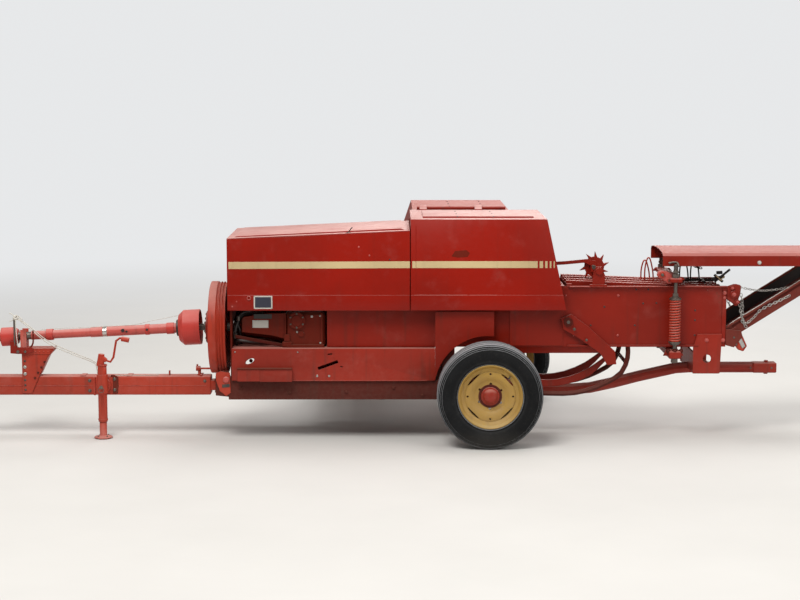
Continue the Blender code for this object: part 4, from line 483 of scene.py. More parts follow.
def plate(name, points, low, high, plane="XZ", bevel=0.0):
    """Flat plate from an outline, with rounded edges."""
    bm = bmesh.new()
    if plane == "XZ":
        front = [bm.verts.new((u, low, v)) for u, v in points]
        step = Vector((0, high - low, 0))
    elif plane == "YZ":
        front = [bm.verts.new((low, u, v)) for u, v in points]
        step = Vector((high - low, 0, 0))
    else:
        front = [bm.verts.new((u, v, low)) for u, v in points]
        step = Vector((0, 0, high - low))
    face = bm.faces.new(front)
    grown = bmesh.ops.extrude_face_region(bm, geom=[face])["geom"]
    bmesh.ops.translate(bm, vec=step, verts=[g for g in grown if isinstance(g, bmesh.types.BMVert)])
    if bevel > 0:
        bmesh.ops.bevel(bm, geom=bm.edges[:], offset=bevel, segments=2, affect="EDGES", clamp_overlap=True)
    return soften(piece_from(bm, name), 30)


def dressed(node, mat, body, angle=40.0, bevel=0.0, segments=2):
    """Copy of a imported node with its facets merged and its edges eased, which stands for the node."""
    source = nodes[node]
    bm = bmesh.new()
    bm.from_mesh(source.data)
    bm.transform(source.matrix_world)
    bmesh.ops.remove_doubles(bm, verts=bm.verts, dist=0.00005)
    bmesh.ops.dissolve_limit(bm, angle_limit=math.radians(0.5), verts=bm.verts, edges=bm.edges)
    mesh = bpy.data.meshes.new(node + "_finish")
    bm.to_mesh(mesh)
    bm.free()
    obj = bpy.data.objects.new(node + "_finish", mesh)
    scene.collection.objects.link(obj)
    if bevel > 0:
        rounding = obj.modifiers.new("rounding", "BEVEL")
        rounding.width = bevel
        rounding.segments = segments
        rounding.limit_method = "ANGLE"
        rounding.angle_limit = math.radians(angle)
        rounding.harden_normals = False
        obj = finished(obj)
    soften(obj, angle)
    return settle(obj, mat, body, (node,))


# ---------------------------------------------------------------- camera, light and floor

def aim(obj, target):
    obj.rotation_euler = (Vector(target) - obj.location).to_track_quat("-Z", "Y").to_euler()


def set_camera():
    data = bpy.data.cameras.new("camera")
    data.sensor_width = 36.0
    data.lens = 78.97
    data.clip_end = 200.0
    obj = bpy.data.objects.new("camera", data)
    obj.location = at(*CAMERA_AT)
    obj.rotation_euler = (math.radians(90 - 7.306), 0.0, math.radians(-0.201))
    scene.collection.objects.link(obj)
    scene.camera = obj


def area_light(name, place, target, size, power, colour):
    data = bpy.data.lights.new(name, "AREA")
    data.shape = "RECTANGLE"
    data.size = size[0]
    data.size_y = size[1]
    data.energy = power
    data.color = colour
    obj = bpy.data.objects.new(name, data)
    obj.location = at(*place)
    aim(obj, at(*target))
    scene.collection.objects.link(obj)


STUDIO_GREY = (0.80, 0.81, 0.82, 1)


def set_studio():
    world = bpy.data.worlds.new("studio")
    scene.world = world
    world.use_nodes = True
    web = Web(world.node_tree)
    soft = world.node_tree.nodes["Background"]
    soft.inputs["Color"].default_value = (1.0, 0.96, 0.90, 1)
    soft.inputs["Strength"].default_value = 0.38
    pale = web.add("ShaderNodeBackground")
    pale.inputs["Color"].default_value = STUDIO_GREY
    pale.inputs["Strength"].default_value = 1.0
    path = web.add("ShaderNodeLightPath")
    seen = web.maths("MAXIMUM", path.outputs["Is Camera Ray"], path.outputs["Is Transmission Ray"])
    mix = web.add("ShaderNodeMixShader")
    web.join(seen, mix.inputs[0])
    web.join(soft.outputs[0], mix.inputs[1])
    web.join(pale.outputs[0], mix.inputs[2])
    web.join(mix.outputs[0], world.node_tree.nodes["World Output"].inputs["Surface"])
    area_light("key_light", (-3.2, -6.5, 9.5), (-0.4, 0.0, 0.5), (4.5, 4.5), 900, (1.0, 0.965, 0.91))
    area_light("top_light", (1.5, 1.5, 9.0), (-0.4, 0.0, 0.5), (6.0, 5.0), 420, (1.0, 0.98, 0.95))
    area_light("side_light", (6.5, -6.0, 4.5), (0.2, 0.0, 0.6), (4.0, 3.0), 190, (1.0, 0.965, 0.92))
    area_light("rim_light", (2.0, 9.0, 5.0), (-0.2, 0.0, 0.7), (6.0, 3.0), 260, (1.0, 0.97, 0.93))


def set_floor():
    bm = bmesh.new()
    centre = at(-0.5, 0, 0)
    span = 90.0
    corners = [bm.verts.new((centre.x + sx * span, centre.y + sy * span, 0.0))
        for sx, sy in ((-1, -1), (1, -1), (1, 1), (-1, 1))]
    bm.faces.new(corners)
    mesh = bpy.data.meshes.new("floor")
    bm.to_mesh(mesh)
    bm.free()
    floor = bpy.data.objects.new("floor", mesh)
    scene.collection.objects.link(floor)
    mat = bpy.data.materials.new("studio_floor")
    mat.use_nodes = True
    web = Web(mat.node_tree)
    shader = shader_of(mat)
    where = web.add("ShaderNodeTexCoord").outputs["Object"]
    tone = web.blend(web.noise(where, 1.3, 3.0), (0.60, 0.60, 0.595), (0.66, 0.66, 0.655))
    web.join(tone, shader.inputs["Base Color"])
    shader.inputs["Roughness"].default_value = 0.85
    shader.inputs["Specular IOR Level"].default_value = 0.2
    apart = web.add("ShaderNodeVectorMath", operation="DISTANCE")
    web.join(where, apart.inputs[0])
    apart.inputs[1].default_value = (centre.x, centre.y, 0.0)
    glow = web.add("ShaderNodeEmission")
    glow.inputs["Color"].default_value = STUDIO_GREY
    path = web.add("ShaderNodeLightPath")
    far = web.maths("MULTIPLY", web.span(apart.outputs["Value"], 3.2, 12.0), path.outputs["Is Camera Ray"])
    mix = web.add("ShaderNodeMixShader")
    web.join(far, mix.inputs[0])
    web.join(shader.outputs[0], mix.inputs[1])
    web.join(glow.outputs[0], mix.inputs[2])
    web.join(mix.outputs[0], mat.node_tree.nodes["Material Output"].inputs["Surface"])
    mesh.materials.append(mat)


set_camera()
set_studio()
set_floor()
scene.view_settings.view_transform = "Standard"


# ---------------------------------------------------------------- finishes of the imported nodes

def finish_node(name, mat):
    data = nodes[name].data
    data.materials.clear()
    data.materials.append(mat)


FINISH = {
    red: ["knotter_hood", "left_shield", "twine_lid"],
    case_red: ["bale_case", "chute_extension", "drive_stand", "twine_box", "feeder_housing", "windguard",
               "pickup_frame", "tension_rails", "tension_bar_upper", "trip_bracket", "arch_panel",
               "needle_yoke", "metering_arm", "star_wheel"],
    dusty_red: ["tongue", "tension_spring_left", "tension_spring_right"],
    chute_red: ["chute_lower", "chute_bracket_left", "chute_bracket_right"],
    half_shade_red: ["gearbox", "front_bulkhead"],
    frame_red: ["front_box", "tension_bar_lower", "wagon_hitch", "left_hub", "right_hub"],
    deep_shade_red: ["main_frame", "case_stand_front", "case_stand_rear", "needle_pivot_left",
                  "needle_pivot_right", "needle_guard"],
    steel: ["feeder_tines", "input_shaft", "knotter_left", "knotter_right", "knotter_shaft",
            "tension_rod_left", "tension_rod_right", "driveline_yoke", "pickup_reel", "slip_clutch"],
    rubber: ["gauge_wheel"],
}
for finish, names in FINISH.items():
    for name in names:
        if name in nodes:
            finish_node(name, finish)


# ---------------------------------------------------------------- running gear

def carved(obj, cutters):
    """Takes the cutters away from a piece."""
    group = bpy.data.collections.new("cutters")
    scene.collection.children.link(group)
    for cutter in cutters:
        scene.collection.objects.unlink(cutter)
        group.objects.link(cutter)
    cut = obj.modifiers.new("cut", "BOOLEAN")
    cut.operation = "DIFFERENCE"
    cut.solver = "EXACT"
    cut.operand_type = "COLLECTION"
    cut.collection = group
    out = finished(obj)
    for cutter in cutters:
        bpy.data.objects.remove(cutter, do_unlink=True)
    bpy.data.collections.remove(group)
    return out


def stub(name, start, end, radius, sides=20):
    bm = bmesh.new()
    bar(bm, start, end, radius, sides)
    return piece_from(bm, name)


def mirrored(profile, dish):
    return profile if dish < 0 else [(r, -h) for r, h in profile][::-1]


RIM_SHARE = 0.72  # width between the rim's lips, as a share of the tyre's


def wheel_tyre(name, centre, radius, width, rim_r, body):
    """Implement tyre with four tread ribs, stepped shoulders and a moulded bead line."""
    half = width / 2
    seat = half * RIM_SHARE
    side = [(rim_r - 0.011, -seat + 0.004), (rim_r + 0.001, -seat - 0.003), (rim_r + 0.006, -seat - 0.010),
        (rim_r + 0.012, -seat - 0.012), (rim_r + 0.016, -seat - 0.011), (rim_r + 0.020, -seat - 0.013),
        (rim_r + 0.050, -half * 0.985), (rim_r + 0.066, -half * 0.996), (radius - 0.055, -half * 0.99),
        (radius - 0.040, -half * 0.955), (radius - 0.0335, -half * 0.945), (radius - 0.0325, -half * 0.925),
        (radius - 0.029, -half * 0.905), (radius - 0.0235, -half * 0.895), (radius - 0.0225, -half * 0.865),
        (radius - 0.019, -half * 0.845), (radius - 0.0135, -half * 0.835), (radius - 0.0110, -half * 0.790)]
    tread = []
    for centre_h in (-0.60, -0.20):
        tread += [(radius - 0.0016 - 0.006 * abs(centre_h), half * (centre_h - 0.155)),
            (radius - 0.0006 - 0.004 * abs(centre_h), half * (centre_h + 0.135)),
            (radius - 0.0105, half * (centre_h + 0.165)), (radius - 0.0105, half * (centre_h + 0.215))]
    tread = tread[:-1]
    outer = side + tread
    profile = outer + [(r, -h) for r, h in outer[::-1]]
    obj = lathe(name + "_tread", profile, centre, "Y", 120, 28)
    settle(obj, rubber, body, (name,))


def wheel_rim(name, centre, width, rim_r, dish, body, spin):
    """Drop-centre rim with a dished disc: four gaps at the joint, lug holes, rivet holes and valve."""
    half = width / 2 * RIM_SHARE
    lip = [(rim_r - 0.0135, -half + 0.002), (rim_r - 0.001, -half - 0.003), (rim_r, -half - 0.0065),
        (rim_r - 0.002, -half - 0.0095), (rim_r - 0.006, -half - 0.0098), (rim_r - 0.013, -half - 0.004),
        (rim_r - 0.022, -half + 0.010), (rim_r - 0.044, -half + 0.0215), (rim_r - 0.046, -half + 0.026)]
    back = [(rim_r - 0.046, half - 0.026), (rim_r - 0.013, half + 0.004), (rim_r - 0.002, half + 0.0095),
        (rim_r, half + 0.0065), (rim_r - 0.0135, half - 0.002), (rim_r - 0.041, half - 0.033),
        (rim_r - 0.041, -half + 0.033)]
    barrel = lathe(name + "_barrel", mirrored(lip + back, dish), centre, "Y", 96, 28)
    edge = rim_r - 0.0462
    plate_of = [(edge, -half + 0.024), (edge - 0.004, -half + 0.0205), (edge - 0.020, -half + 0.019),
        (0.126, -half + 0.020), (0.104, -half + 0.0315), (0.096, -half + 0.036), (0.0603, -half + 0.0375),
        (0.0603, -half + 0.0435), (0.098, -half + 0.042), (0.108, -half + 0.037), (0.128, -half + 0.026),
        (edge, -half + 0.030)]
    disc = lathe(name + "_disc", mirrored(plate_of, dish), centre, "Y", 96, 28)
    near = Vector(centre)
    cutters = []
    for k in range(6):
        turn = math.radians(spin + 60 * k)
        place = near + Vector((0.080 * math.cos(turn), 0, 0.080 * math.sin(turn)))
        cutters.append(stub("lug_hole", place - Vector((0, 0.2, 0)), place + Vector((0, 0.2, 0)), 0.0078))
    for k in range(4):
        turn = math.radians(spin + 2 + 90 * k)
        place = near + Vector(((edge - 0.016) * math.cos(turn), 0, (edge - 0.016) * math.sin(turn)))
        cutters.append(stub("rivet_hole", place - Vector((0, 0.2, 0)), place + Vector((0, 0.2, 0)), 0.0068))
        bm = bmesh.new()
        corner = math.radians(spin + 47 + 90 * k)
        slab(bm, (edge - 0.0125, -0.2, -0.075), (edge + 0.030, 0.2, 0.075))
        place = Matrix.Translation(centre) @ Matrix.Rotation(-corner, 4, "Y")
        bmesh.ops.transform(bm, matrix=place, verts=bm.verts)
        cutters.append(piece_from(bm, "joint_gap"))
    disc = carved(disc, cutters)
    soften(disc, 28)
    turn = math.radians(46)
    root_at = near + Vector(((rim_r - 0.030) * math.cos(turn), dish * (half - 0.016),
        (rim_r - 0.030) * math.sin(turn)))
    lean = Vector((-0.006, dish * 0.022, -0.006))
    valve = stub(name + "_valve", root_at - lean * 0.2, root_at + lean, 0.0052, 12)
    soften(valve)
    settle(valve, black, body)
    weld = []
    for k in range(4):
        start = spin - 26 + 90 * k
        points = []
        for i in range(14):
            turn = math.radians(start + 4.2 * i)
            points.append(near + Vector(((edge - 0.0005) * math.cos(turn), dish * (half - 0.0225),
                (edge - 0.0005) * math.sin(turn))))
        weld.append(pipe("weld", points, 0.0024, 8))
    obj = joined(name + "_wheel", [barrel, disc] + weld)
    soften(obj, 28)
    settle(obj, rim_yellow, body, (name,))


def wheel_hub(name, centre, width, dish, body):
    """Bearing hub with its pressed grease cap and a ring of stud ends behind the disc."""
    half = width / 2 * RIM_SHARE
    face = -half + 0.040
    profile = [(0.0, face - 0.0478), (0.020, face - 0.0470), (0.034, face - 0.0425), (0.043, face - 0.0340),
        (0.0475, face - 0.0200), (0.0500, face - 0.0185), (0.0580, face - 0.0165), (0.0598, face - 0.0140),
        (0.0598, face + 0.006), (0.0570, face + 0.008), (0.050, face + 0.014), (0.046, half), (0.0247, half),
        (0.0247, -0.066), (0.0, -0.066)]
    cap = lathe(name + "_cap", mirrored(profile, dish), centre, "Y", 72, 30)
    bm = bmesh.new()
    near = Vector(centre)
    for k in range(6):
        turn = math.radians(30 + 60 * k)
        foot = near + Vector((0.0535 * math.cos(turn), dish * (-face + 0.013), 0.0535 * math.sin(turn)))
        bar(bm, foot, foot + Vector((0, dish * 0.0062, 0)), 0.0052, 6)
    heads = piece_from(bm, name + "_heads")
    obj = joined(name + "_finish", [cap, heads])
    soften(obj, 30)
    settle(obj, frame_red, body, (name,))


def middle_of(node):
    low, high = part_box(node)
    return (Vector(low) + Vector(high)) / 2


for tyre_name, rim_name, hub_name, radius, width, rim_r, dish, body in (("left_tyre", "left_rim", "left_hub",
        0.343, 0.235, 0.208, -1, "left_wheel"), ("right_tyre", "right_rim", "right_hub", 0.310, 0.180, 0.188, 1,
        "right_wheel")):
    middle = middle_of(tyre_name)
    middle.z = radius
    wheel_tyre(tyre_name, middle, radius, width, rim_r, body)
    wheel_rim(rim_name, middle, width, rim_r, dish, body, 88 if dish < 0 else 60)
    wheel_hub(hub_name, middle, width, dish, body)


# ---------------------------------------------------------------- flywheel, driveline and springs

def drive_flywheel():
    low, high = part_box("flywheel")
    r = (high[2] - low[2]) / 2
    w = high[0] - low[0]
    groove = r - 0.0125
    profile = [(0.0287, 0.028), (0.050, 0.028), (0.053, 0.034), (0.080, 0.036), (0.200, 0.046),
        (r - 0.062, 0.048), (r - 0.054, 0.040), (r - 0.050, 0.004), (r - 0.046, 0.0006), (r - 0.006, 0.0006),
        (r - 0.0022, 0.002), (r - 0.0004, 0.006), (r - 0.0004, w - 0.064), (r - 0.003, w - 0.061)]
    for k in range(3):
        a = w - 0.0585 + k * 0.0185
        profile += [(groove, a + 0.004), (groove, a + 0.0065), (r - 0.003, a + 0.0135), (r - 0.003, a + 0.0165)]
    profile += [(r - 0.006, w - 0.001), (r - 0.050, w - 0.001), (r - 0.056, w - 0.006), (r - 0.062, w - 0.037),
        (0.080, w - 0.031), (0.0287, w - 0.012)]
    hub = middle_of("flywheel")
    wheel = lathe("flywheel_casting", profile, Vector((low[0], hub.y, hub.z)), "X", 128, 26)
    settle(wheel, dusty_red, "flywheel", ("flywheel",))


drive_flywheel()

for node, mat, body in (("driveline_shield", sunned_red, "driveline"),
        ("driveline_bell_front", bell_red, "driveline"), ("driveline_bell_rear", bell_red, "driveline"),
        ("driveline_yoke", steel, "driveline"), ("slip_clutch", steel, "flywheel"),
        ("input_shaft", steel, "frame"), ("needle_guard", deep_shade_red, "frame"),
        ("wagon_hitch", frame_red, "frame"), ("jack_tube", dusty_red, "jack"),
        ("jack_leg", dusty_red, "jack_leg")):
    dressed(node, mat, body, 34)


def coil(name, x, y, low, high, radius, wire, turns, mat, body, node):
    """Compression spring wound wire by wire, with closed and ground ends."""
    points = []
    steps = 22
    total = turns + 1.6
    span = high - low - 2 * wire
    for i in range(int(total * steps) + 1):
        turn = i / steps
        if turn < 0.8:
            z = 0.0
        elif turn > total - 0.8:
            z = 1.0
        else:
            z = (turn - 0.8) / (total - 1.6)
        angle = math.tau * turn
        points.append(at(x + (radius - wire) * math.cos(angle), y + (radius - wire) * math.sin(angle),
            low + wire + span * z))
    obj = pipe(name, points, wire, 10)
    settle(obj, mat, body, (node,))


for side, node in ((-1, "tension_spring_left"), (1, "tension_spring_right")):
    coil(node + "_coil", ROD_X, side * ROD_Y, 0.662, 0.937, 0.0378, 0.0068, 15, dusty_red, "frame", node)


# ---------------------------------------------------------------- repeats made by node trees

def repeat_tree(name, sizes):
    """New geometry tree that takes points, some sizes and a finish; returned with its web and inputs."""
    tree = bpy.data.node_groups.new(name, "GeometryNodeTree")
    socket_in(tree, "Geometry", "NodeSocketGeometry")
    for size, value in sizes:
        socket_in(tree, size, "NodeSocketFloat", value)
    socket_in(tree, "Finish", "NodeSocketMaterial")
    socket_out(tree, "Geometry", "NodeSocketGeometry")
    web = Web(tree)
    return tree, web, web.add("NodeGroupInput").outputs


def facing_turn(web):
    """Rotation whose Z follows each point's own facing."""
    named = web.add("GeometryNodeInputNamedAttribute", data_type="FLOAT_VECTOR")
    named.inputs["Name"].default_value = "facing"
    turn = web.add("FunctionNodeAlignRotationToVector", axis="Z")
    web.join(named.outputs["Attribute"], turn.inputs["Vector"])
    return turn.outputs["Rotation"]


def placed_on_points(web, points, instance):
    """Instances on the points of a mesh, each turned to its facing and scaled to its size."""
    turn = facing_turn(web)
    size = web.add("GeometryNodeInputNamedAttribute", data_type="FLOAT")
    size.inputs["Name"].default_value = "size"
    on = web.add("GeometryNodeInstanceOnPoints")
    web.join(points, on.inputs["Points"])
    web.join(instance, on.inputs["Instance"])
    web.join(turn, on.inputs["Rotation"])
    web.join(size.outputs["Attribute"], on.inputs["Scale"])
    return on.outputs["Instances"]


def shaped(web, mesh, lift, scale=(1, 1, 1), turn=(0, 0, 0)):
    node = web.add("GeometryNodeTransform")
    web.join(mesh, node.inputs["Geometry"])
    if isinstance(lift, bpy.types.NodeSocket):
        vector = web.add("ShaderNodeCombineXYZ")
        web.join(lift, vector.inputs["Z"])
        web.join(vector.outputs[0], node.inputs["Translation"])
    else:
        node.inputs["Translation"].default_value = (0, 0, lift)
    node.inputs["Scale"].default_value = scale
    node.inputs["Rotation"].default_value = turn
    return node.outputs["Geometry"]


def closing(web, geometry, material):
    real = web.add("GeometryNodeRealizeInstances")
    web.join(geometry, real.inputs["Geometry"])
    paint = web.add("GeometryNodeSetMaterial")
    web.join(real.outputs["Geometry"], paint.inputs["Geometry"])
    web.join(material, paint.inputs["Material"])
    out = web.add("NodeGroupOutput")
    web.join(paint.outputs["Geometry"], out.inputs[0])


def hex_bolt_tree():
    """Hex head with a chamfered crown on a round washer, set on every point."""
    tree, web, given = repeat_tree("hex_bolts", (("Head Radius", 0.009), ("Head Height", 0.006),
        ("Washer Radius", 0.012), ("Washer Height", 0.0016)))
    head = web.add("GeometryNodeMeshCone")
    head.inputs["Vertices"].default_value = 6
    web.join(given["Head Radius"], head.inputs["Radius Bottom"])
    web.join(web.maths("MULTIPLY", given["Head Radius"], 0.93), head.inputs["Radius Top"])
    web.join(given["Head Height"], head.inputs["Depth"])
    washer = web.add("GeometryNodeMeshCylinder")
    washer.inputs["Vertices"].default_value = 16
    web.join(given["Washer Radius"], washer.inputs["Radius"])
    web.join(web.maths("MULTIPLY", given["Washer Height"], 2.0), washer.inputs["Depth"])
    crown = web.add("GeometryNodeMeshCone")
    crown.inputs["Vertices"].default_value = 12
    web.join(web.maths("MULTIPLY", given["Head Radius"], 0.80), crown.inputs["Radius Bottom"])
    web.join(web.maths("MULTIPLY", given["Head Radius"], 0.62), crown.inputs["Radius Top"])
    crown.inputs["Depth"].default_value = 0.0012
    gather = web.add("GeometryNodeJoinGeometry")
    web.join(shaped(web, head.outputs["Mesh"], given["Washer Height"]), gather.inputs["Geometry"])
    web.join(shaped(web, washer.outputs["Mesh"], 0.0), gather.inputs["Geometry"])
    top = web.maths("ADD", given["Washer Height"], given["Head Height"])
    web.join(shaped(web, crown.outputs["Mesh"], top), gather.inputs["Geometry"])
    placed = placed_on_points(web, given["Geometry"], gather.outputs["Geometry"])
    closing(web, placed, given["Finish"])
    return tree


def dome_rivet_tree():
    """Low domed head set on every point."""
    tree, web, given = repeat_tree("dome_rivets", (("Head Radius", 0.006),))
    ball = web.add("GeometryNodeMeshUVSphere")
    ball.inputs["Segments"].default_value = 14
    ball.inputs["Rings"].default_value = 8
    web.join(given["Head Radius"], ball.inputs["Radius"])
    smooth = web.add("GeometryNodeSetShadeSmooth")
    web.join(shaped(web, ball.outputs["Mesh"], 0.0, (1, 1, 0.5)), smooth.inputs["Geometry"])
    placed = placed_on_points(web, given["Geometry"], smooth.outputs["Geometry"])
    closing(web, placed, given["Finish"])
    return tree


LINK_TURN = math.radians(84)


def chain_tree():
    """Oval links set on every point, each turned almost a right angle from the last."""
    tree, web, given = repeat_tree("chain_links", (("Link Length", 0.030), ("Wire", 0.0028)))
    ring = web.add("GeometryNodeCurvePrimitiveCircle")
    ring.inputs["Resolution"].default_value = 14
    web.join(web.maths("MULTIPLY", given["Link Length"], 0.5), ring.inputs["Radius"])
    oval = shaped(web, ring.outputs["Curve"], 0.0, (0.58, 1.0, 1.0), (math.radians(90), 0, 0))
    section = web.add("GeometryNodeCurvePrimitiveCircle")
    section.inputs["Resolution"].default_value = 6
    web.join(given["Wire"], section.inputs["Radius"])
    solid = web.add("GeometryNodeCurveToMesh")
    web.join(oval, solid.inputs["Curve"])
    web.join(section.outputs["Curve"], solid.inputs["Profile Curve"])
    smooth = web.add("GeometryNodeSetShadeSmooth")
    web.join(solid.outputs["Mesh"], smooth.inputs["Geometry"])
    turn = facing_turn(web)
    index = web.add("GeometryNodeInputIndex")
    spin = web.add("FunctionNodeAxisAngleToRotation")
    spin.inputs["Axis"].default_value = (0, 0, 1)
    web.join(web.maths("MULTIPLY", index.outputs[0], LINK_TURN), spin.inputs["Angle"])
    rotate = web.add("FunctionNodeRotateRotation", rotation_space="LOCAL")
    web.join(turn, rotate.inputs["Rotation"])
    web.join(spin.outputs["Rotation"], rotate.inputs["Rotate By"])
    on = web.add("GeometryNodeInstanceOnPoints")
    web.join(given["Geometry"], on.inputs["Points"])
    web.join(smooth.outputs["Geometry"], on.inputs["Instance"])
    web.join(rotate.outputs["Rotation"], on.inputs["Rotation"])
    closing(web, on.outputs["Instances"], given["Finish"])
    return tree


HEX_BOLTS = hex_bolt_tree()
DOME_RIVETS = dome_rivet_tree()
CHAIN_LINKS = chain_tree()


def set_on_points(name, tree, spots, body, **values):
    """Runs a tree on (place, facing, size) spots and keeps the result as one piece on a body."""
    mesh = bpy.data.meshes.new(name)
    mesh.from_pydata([tuple(at(*spot[0])) for spot in spots], [], [])
    mesh.attributes.new("facing", "FLOAT_VECTOR", "POINT")
    mesh.attributes.new("size", "FLOAT", "POINT")
    for i, spot in enumerate(spots):
        mesh.attributes["facing"].data[i].vector = spot[1]
        mesh.attributes["size"].data[i].value = spot[2] if len(spot) > 2 else 1.0
    obj = bpy.data.objects.new(name, mesh)
    scene.collection.objects.link(obj)
    run = obj.modifiers.new("repeats", "NODES")
    run.node_group = tree
    for item in tree.interface.items_tree:
        if item.item_type == "SOCKET" and item.in_out == "INPUT" and item.name in values:
            run[item.identifier] = values[item.name]
    out = finished(obj)
    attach(out, body)
    return out


def on_face(y, facing, *spots):
    """Fastener spots on one upright face, from (x, z) or (x, z, size)."""
    return [((spot[0], y, spot[1]), facing, *spot[2:]) for spot in spots]


def bolts(name, spots, body, finish=None, radius=0.009, height=0.006, washer=0.012):
    values = {"Head Radius": radius, "Head Height": height, "Washer Radius": washer,
        "Finish": finish or case_red}
    return set_on_points(name, HEX_BOLTS, spots, body, **values)


def rivets(name, spots, body, finish=None, radius=0.006):
    return set_on_points(name, DOME_RIVETS, spots, body, **{"Head Radius": radius, "Finish": finish or red})


FRONT = (0, -1, 0)
BACK = (0, 1, 0)
UP = (0, 0, 1)
AHEAD = (-1, 0, 0)

# Radius and height of a bolt's head and radius of its washer, shared by several rows.
RAIL_HEAD = (0.009, 0.006, 0.013)
BROAD_HEAD = (0.0085, 0.006, 0.0115)
PLAIN_HEAD = (0.0085, 0.006, 0.012)
CHUTE_HEAD = (0.0080, 0.006, 0.011)
SMALL_HEAD = (0.0056, 0.004, 0.0075)


# ---------------------------------------------------------------- hoods: stripes, bare plates, rims

def label(name, outline, mat, body, face=HOOD_FACE, proud=0.0005):
    """Thin applied plate or painted band just proud of a panel, from its outline in X and Z."""
    points = [(at(x, 0, 0).x, z) for x, z in outline]
    front = at(0, face - proud, 0).y
    obj = plate(name, points, front, front + proud + 0.0006, "XZ")
    return settle(obj, mat, body)


label("shield_stripe", [(-1.6865, 1.1395), (-0.5135, 1.1455), (-0.5135, 1.1900), (-1.6865, 1.1860)], cream,
    "left_shield")
label("hood_stripe", [(-0.4985, 1.1455), (0.3130, 1.1455), (0.3130, 1.1905), (-0.4985, 1.1905)], cream,
    "knotter_hood")
for k, (x0, x1) in enumerate(((0.3250, 0.3480), (0.3610, 0.3770), (0.3905, 0.4020), (0.4155, 0.4235))):
    label("hood_bar_%d" % k, [(x0, 1.1455), (x1, 1.1455), (x1, 1.1905), (x0, 1.1905)], cream, "knotter_hood")


def bordered_plate(name, x0, x1, z0, z1, border, inner, outer, body, face=HOOD_FACE):
    """Bare data plate: pale border, darker field, four rivets."""
    def rounded(a, b, c, d, r):
        out = []
        for cx, cz, start in ((b - r, c + r, -90), (b - r, d - r, 0), (a + r, d - r, 90), (a + r, c + r, 180)):
            out += [(cx + r * math.cos(math.radians(start + 22.5 * i)),
                cz + r * math.sin(math.radians(start + 22.5 * i))) for i in range(5)]
        return out
    label(name + "_border", rounded(x0, x1, z0, z1, 0.004), outer, body, face, 0.0006)
    label(name + "_field", rounded(x0 + border, x1 - border, z0 + border, z1 - border, 0.003), inner, body,
        face, 0.0011)
    inset = border * 0.5
    spots = [((x, face - 0.0006, z), FRONT) for x in (x0 + inset, x1 - inset) for z in (z0 + inset, z1 - inset)]
    rivets(name + "_rivets", spots, body, bright, 0.0022)


bordered_plate("shield_plate", -1.5250, -1.4040, 0.8800, 0.9660, 0.0085, plate_dark, plate_pale, "left_shield",
    HOOD_FACE - 0.0040)
eyelet = upright_ring(-1.556, HOOD_FACE - 0.0070, 0.951, 0.0115)
settle(pipe("shield_eyelet", eyelet, 0.0030, 10, closed=True), sunned_red, "left_shield")
rivets("shield_rivets", [((-0.8436, HOOD_FACE, 1.283), FRONT), ((-0.775, HOOD_FACE, 1.227), FRONT, 0.9),
    ((-1.6645, HOOD_FACE - 0.004, 0.895), FRONT, 0.9), ((-1.636, HOOD_FACE - 0.004, 0.928), FRONT, 0.7)],
    "left_shield", sunned_red, 0.0065)
rivets("shield_plug", [((-0.644, HOOD_FACE, 1.201), FRONT)], "left_shield", black, 0.0050)

for cover, ease in (("knotter_hood", 0.0035), ("left_shield", 0.0016), ("twine_lid", 0.0022)):
    dressed(cover, red, cover, 35, ease, 2)


def beading(name, points, radius, mat, body):
    """Half-round bead pressed into a panel, along a run of points."""
    obj = pipe(name, [at(*p) for p in points], radius, 10)
    return settle(obj, mat, body)


beading("hood_crease", [(-0.474, HOOD_FACE + 0.0012, 0.985), (-0.474, HOOD_FACE + 0.0012, 1.425)], 0.0022, red,
    "knotter_hood")
beading("hood_fold_left", [(-0.486, HOOD_FACE - 0.0030, 0.969), (-0.140, HOOD_FACE - 0.0030, 0.969)], 0.0022,
    sunned_red, "knotter_hood")
beading("hood_fold_right", [(-0.128, HOOD_FACE - 0.0030, 0.969), (0.052, HOOD_FACE - 0.0030, 0.969)], 0.0020,
    sunned_red, "knotter_hood")
beading("shield_hem", [(-1.640, HOOD_FACE - 0.0022, 0.8715), (-0.520, HOOD_FACE - 0.0022, 0.8715)], 0.0020,
    frame_red, "left_shield")


def lid_handle():
    """Spring latch on the twine lid: bent rod with a keeper plate."""
    run = flowing([(-0.915, HOOD_FACE + 0.022, 1.374), (-0.902, HOOD_FACE + 0.020, 1.388),
        (-0.893, HOOD_FACE + 0.018, 1.401), (-0.884, HOOD_FACE + 0.018, 1.408)], 5)
    rod = pipe("lid_latch_rod", [at(*p) for p in run], 0.0032, 8)
    bm = bmesh.new()
    slab(bm, at(-0.928, HOOD_FACE + 0.010, 1.369), at(-0.894, HOOD_FACE + 0.036, 1.3745))
    bmesh.ops.bevel(bm, geom=bm.edges[:], offset=0.0012, segments=1, affect="EDGES")
    keeper = piece_from(bm, "lid_latch_keeper")
    obj = joined("lid_latch", [rod, keeper])
    soften(obj)
    settle(obj, black, "twine_lid")


lid_handle()


# ---------------------------------------------------------------- gearbox, twine box and chassis front

def block_piece(name, boxes, mat, body, bevel=0.0015, stands_for=()):
    """One piece from boxes given in the baler's datum, edges eased."""
    bm = bmesh.new()
    for low, high in boxes:
        slab(bm, at(*low), at(*high))
    if bevel > 0:
        bmesh.ops.bevel(bm, geom=bm.edges[:], offset=bevel, segments=2, affect="EDGES", clamp_overlap=True)
    return settle(soften(piece_from(bm, name), 30), mat, body, stands_for)


def pin(x, z, y0, y1, radius):
    """Round bar across the machine, for bars_piece."""
    return (x, y0, z), (x, y1, z), radius


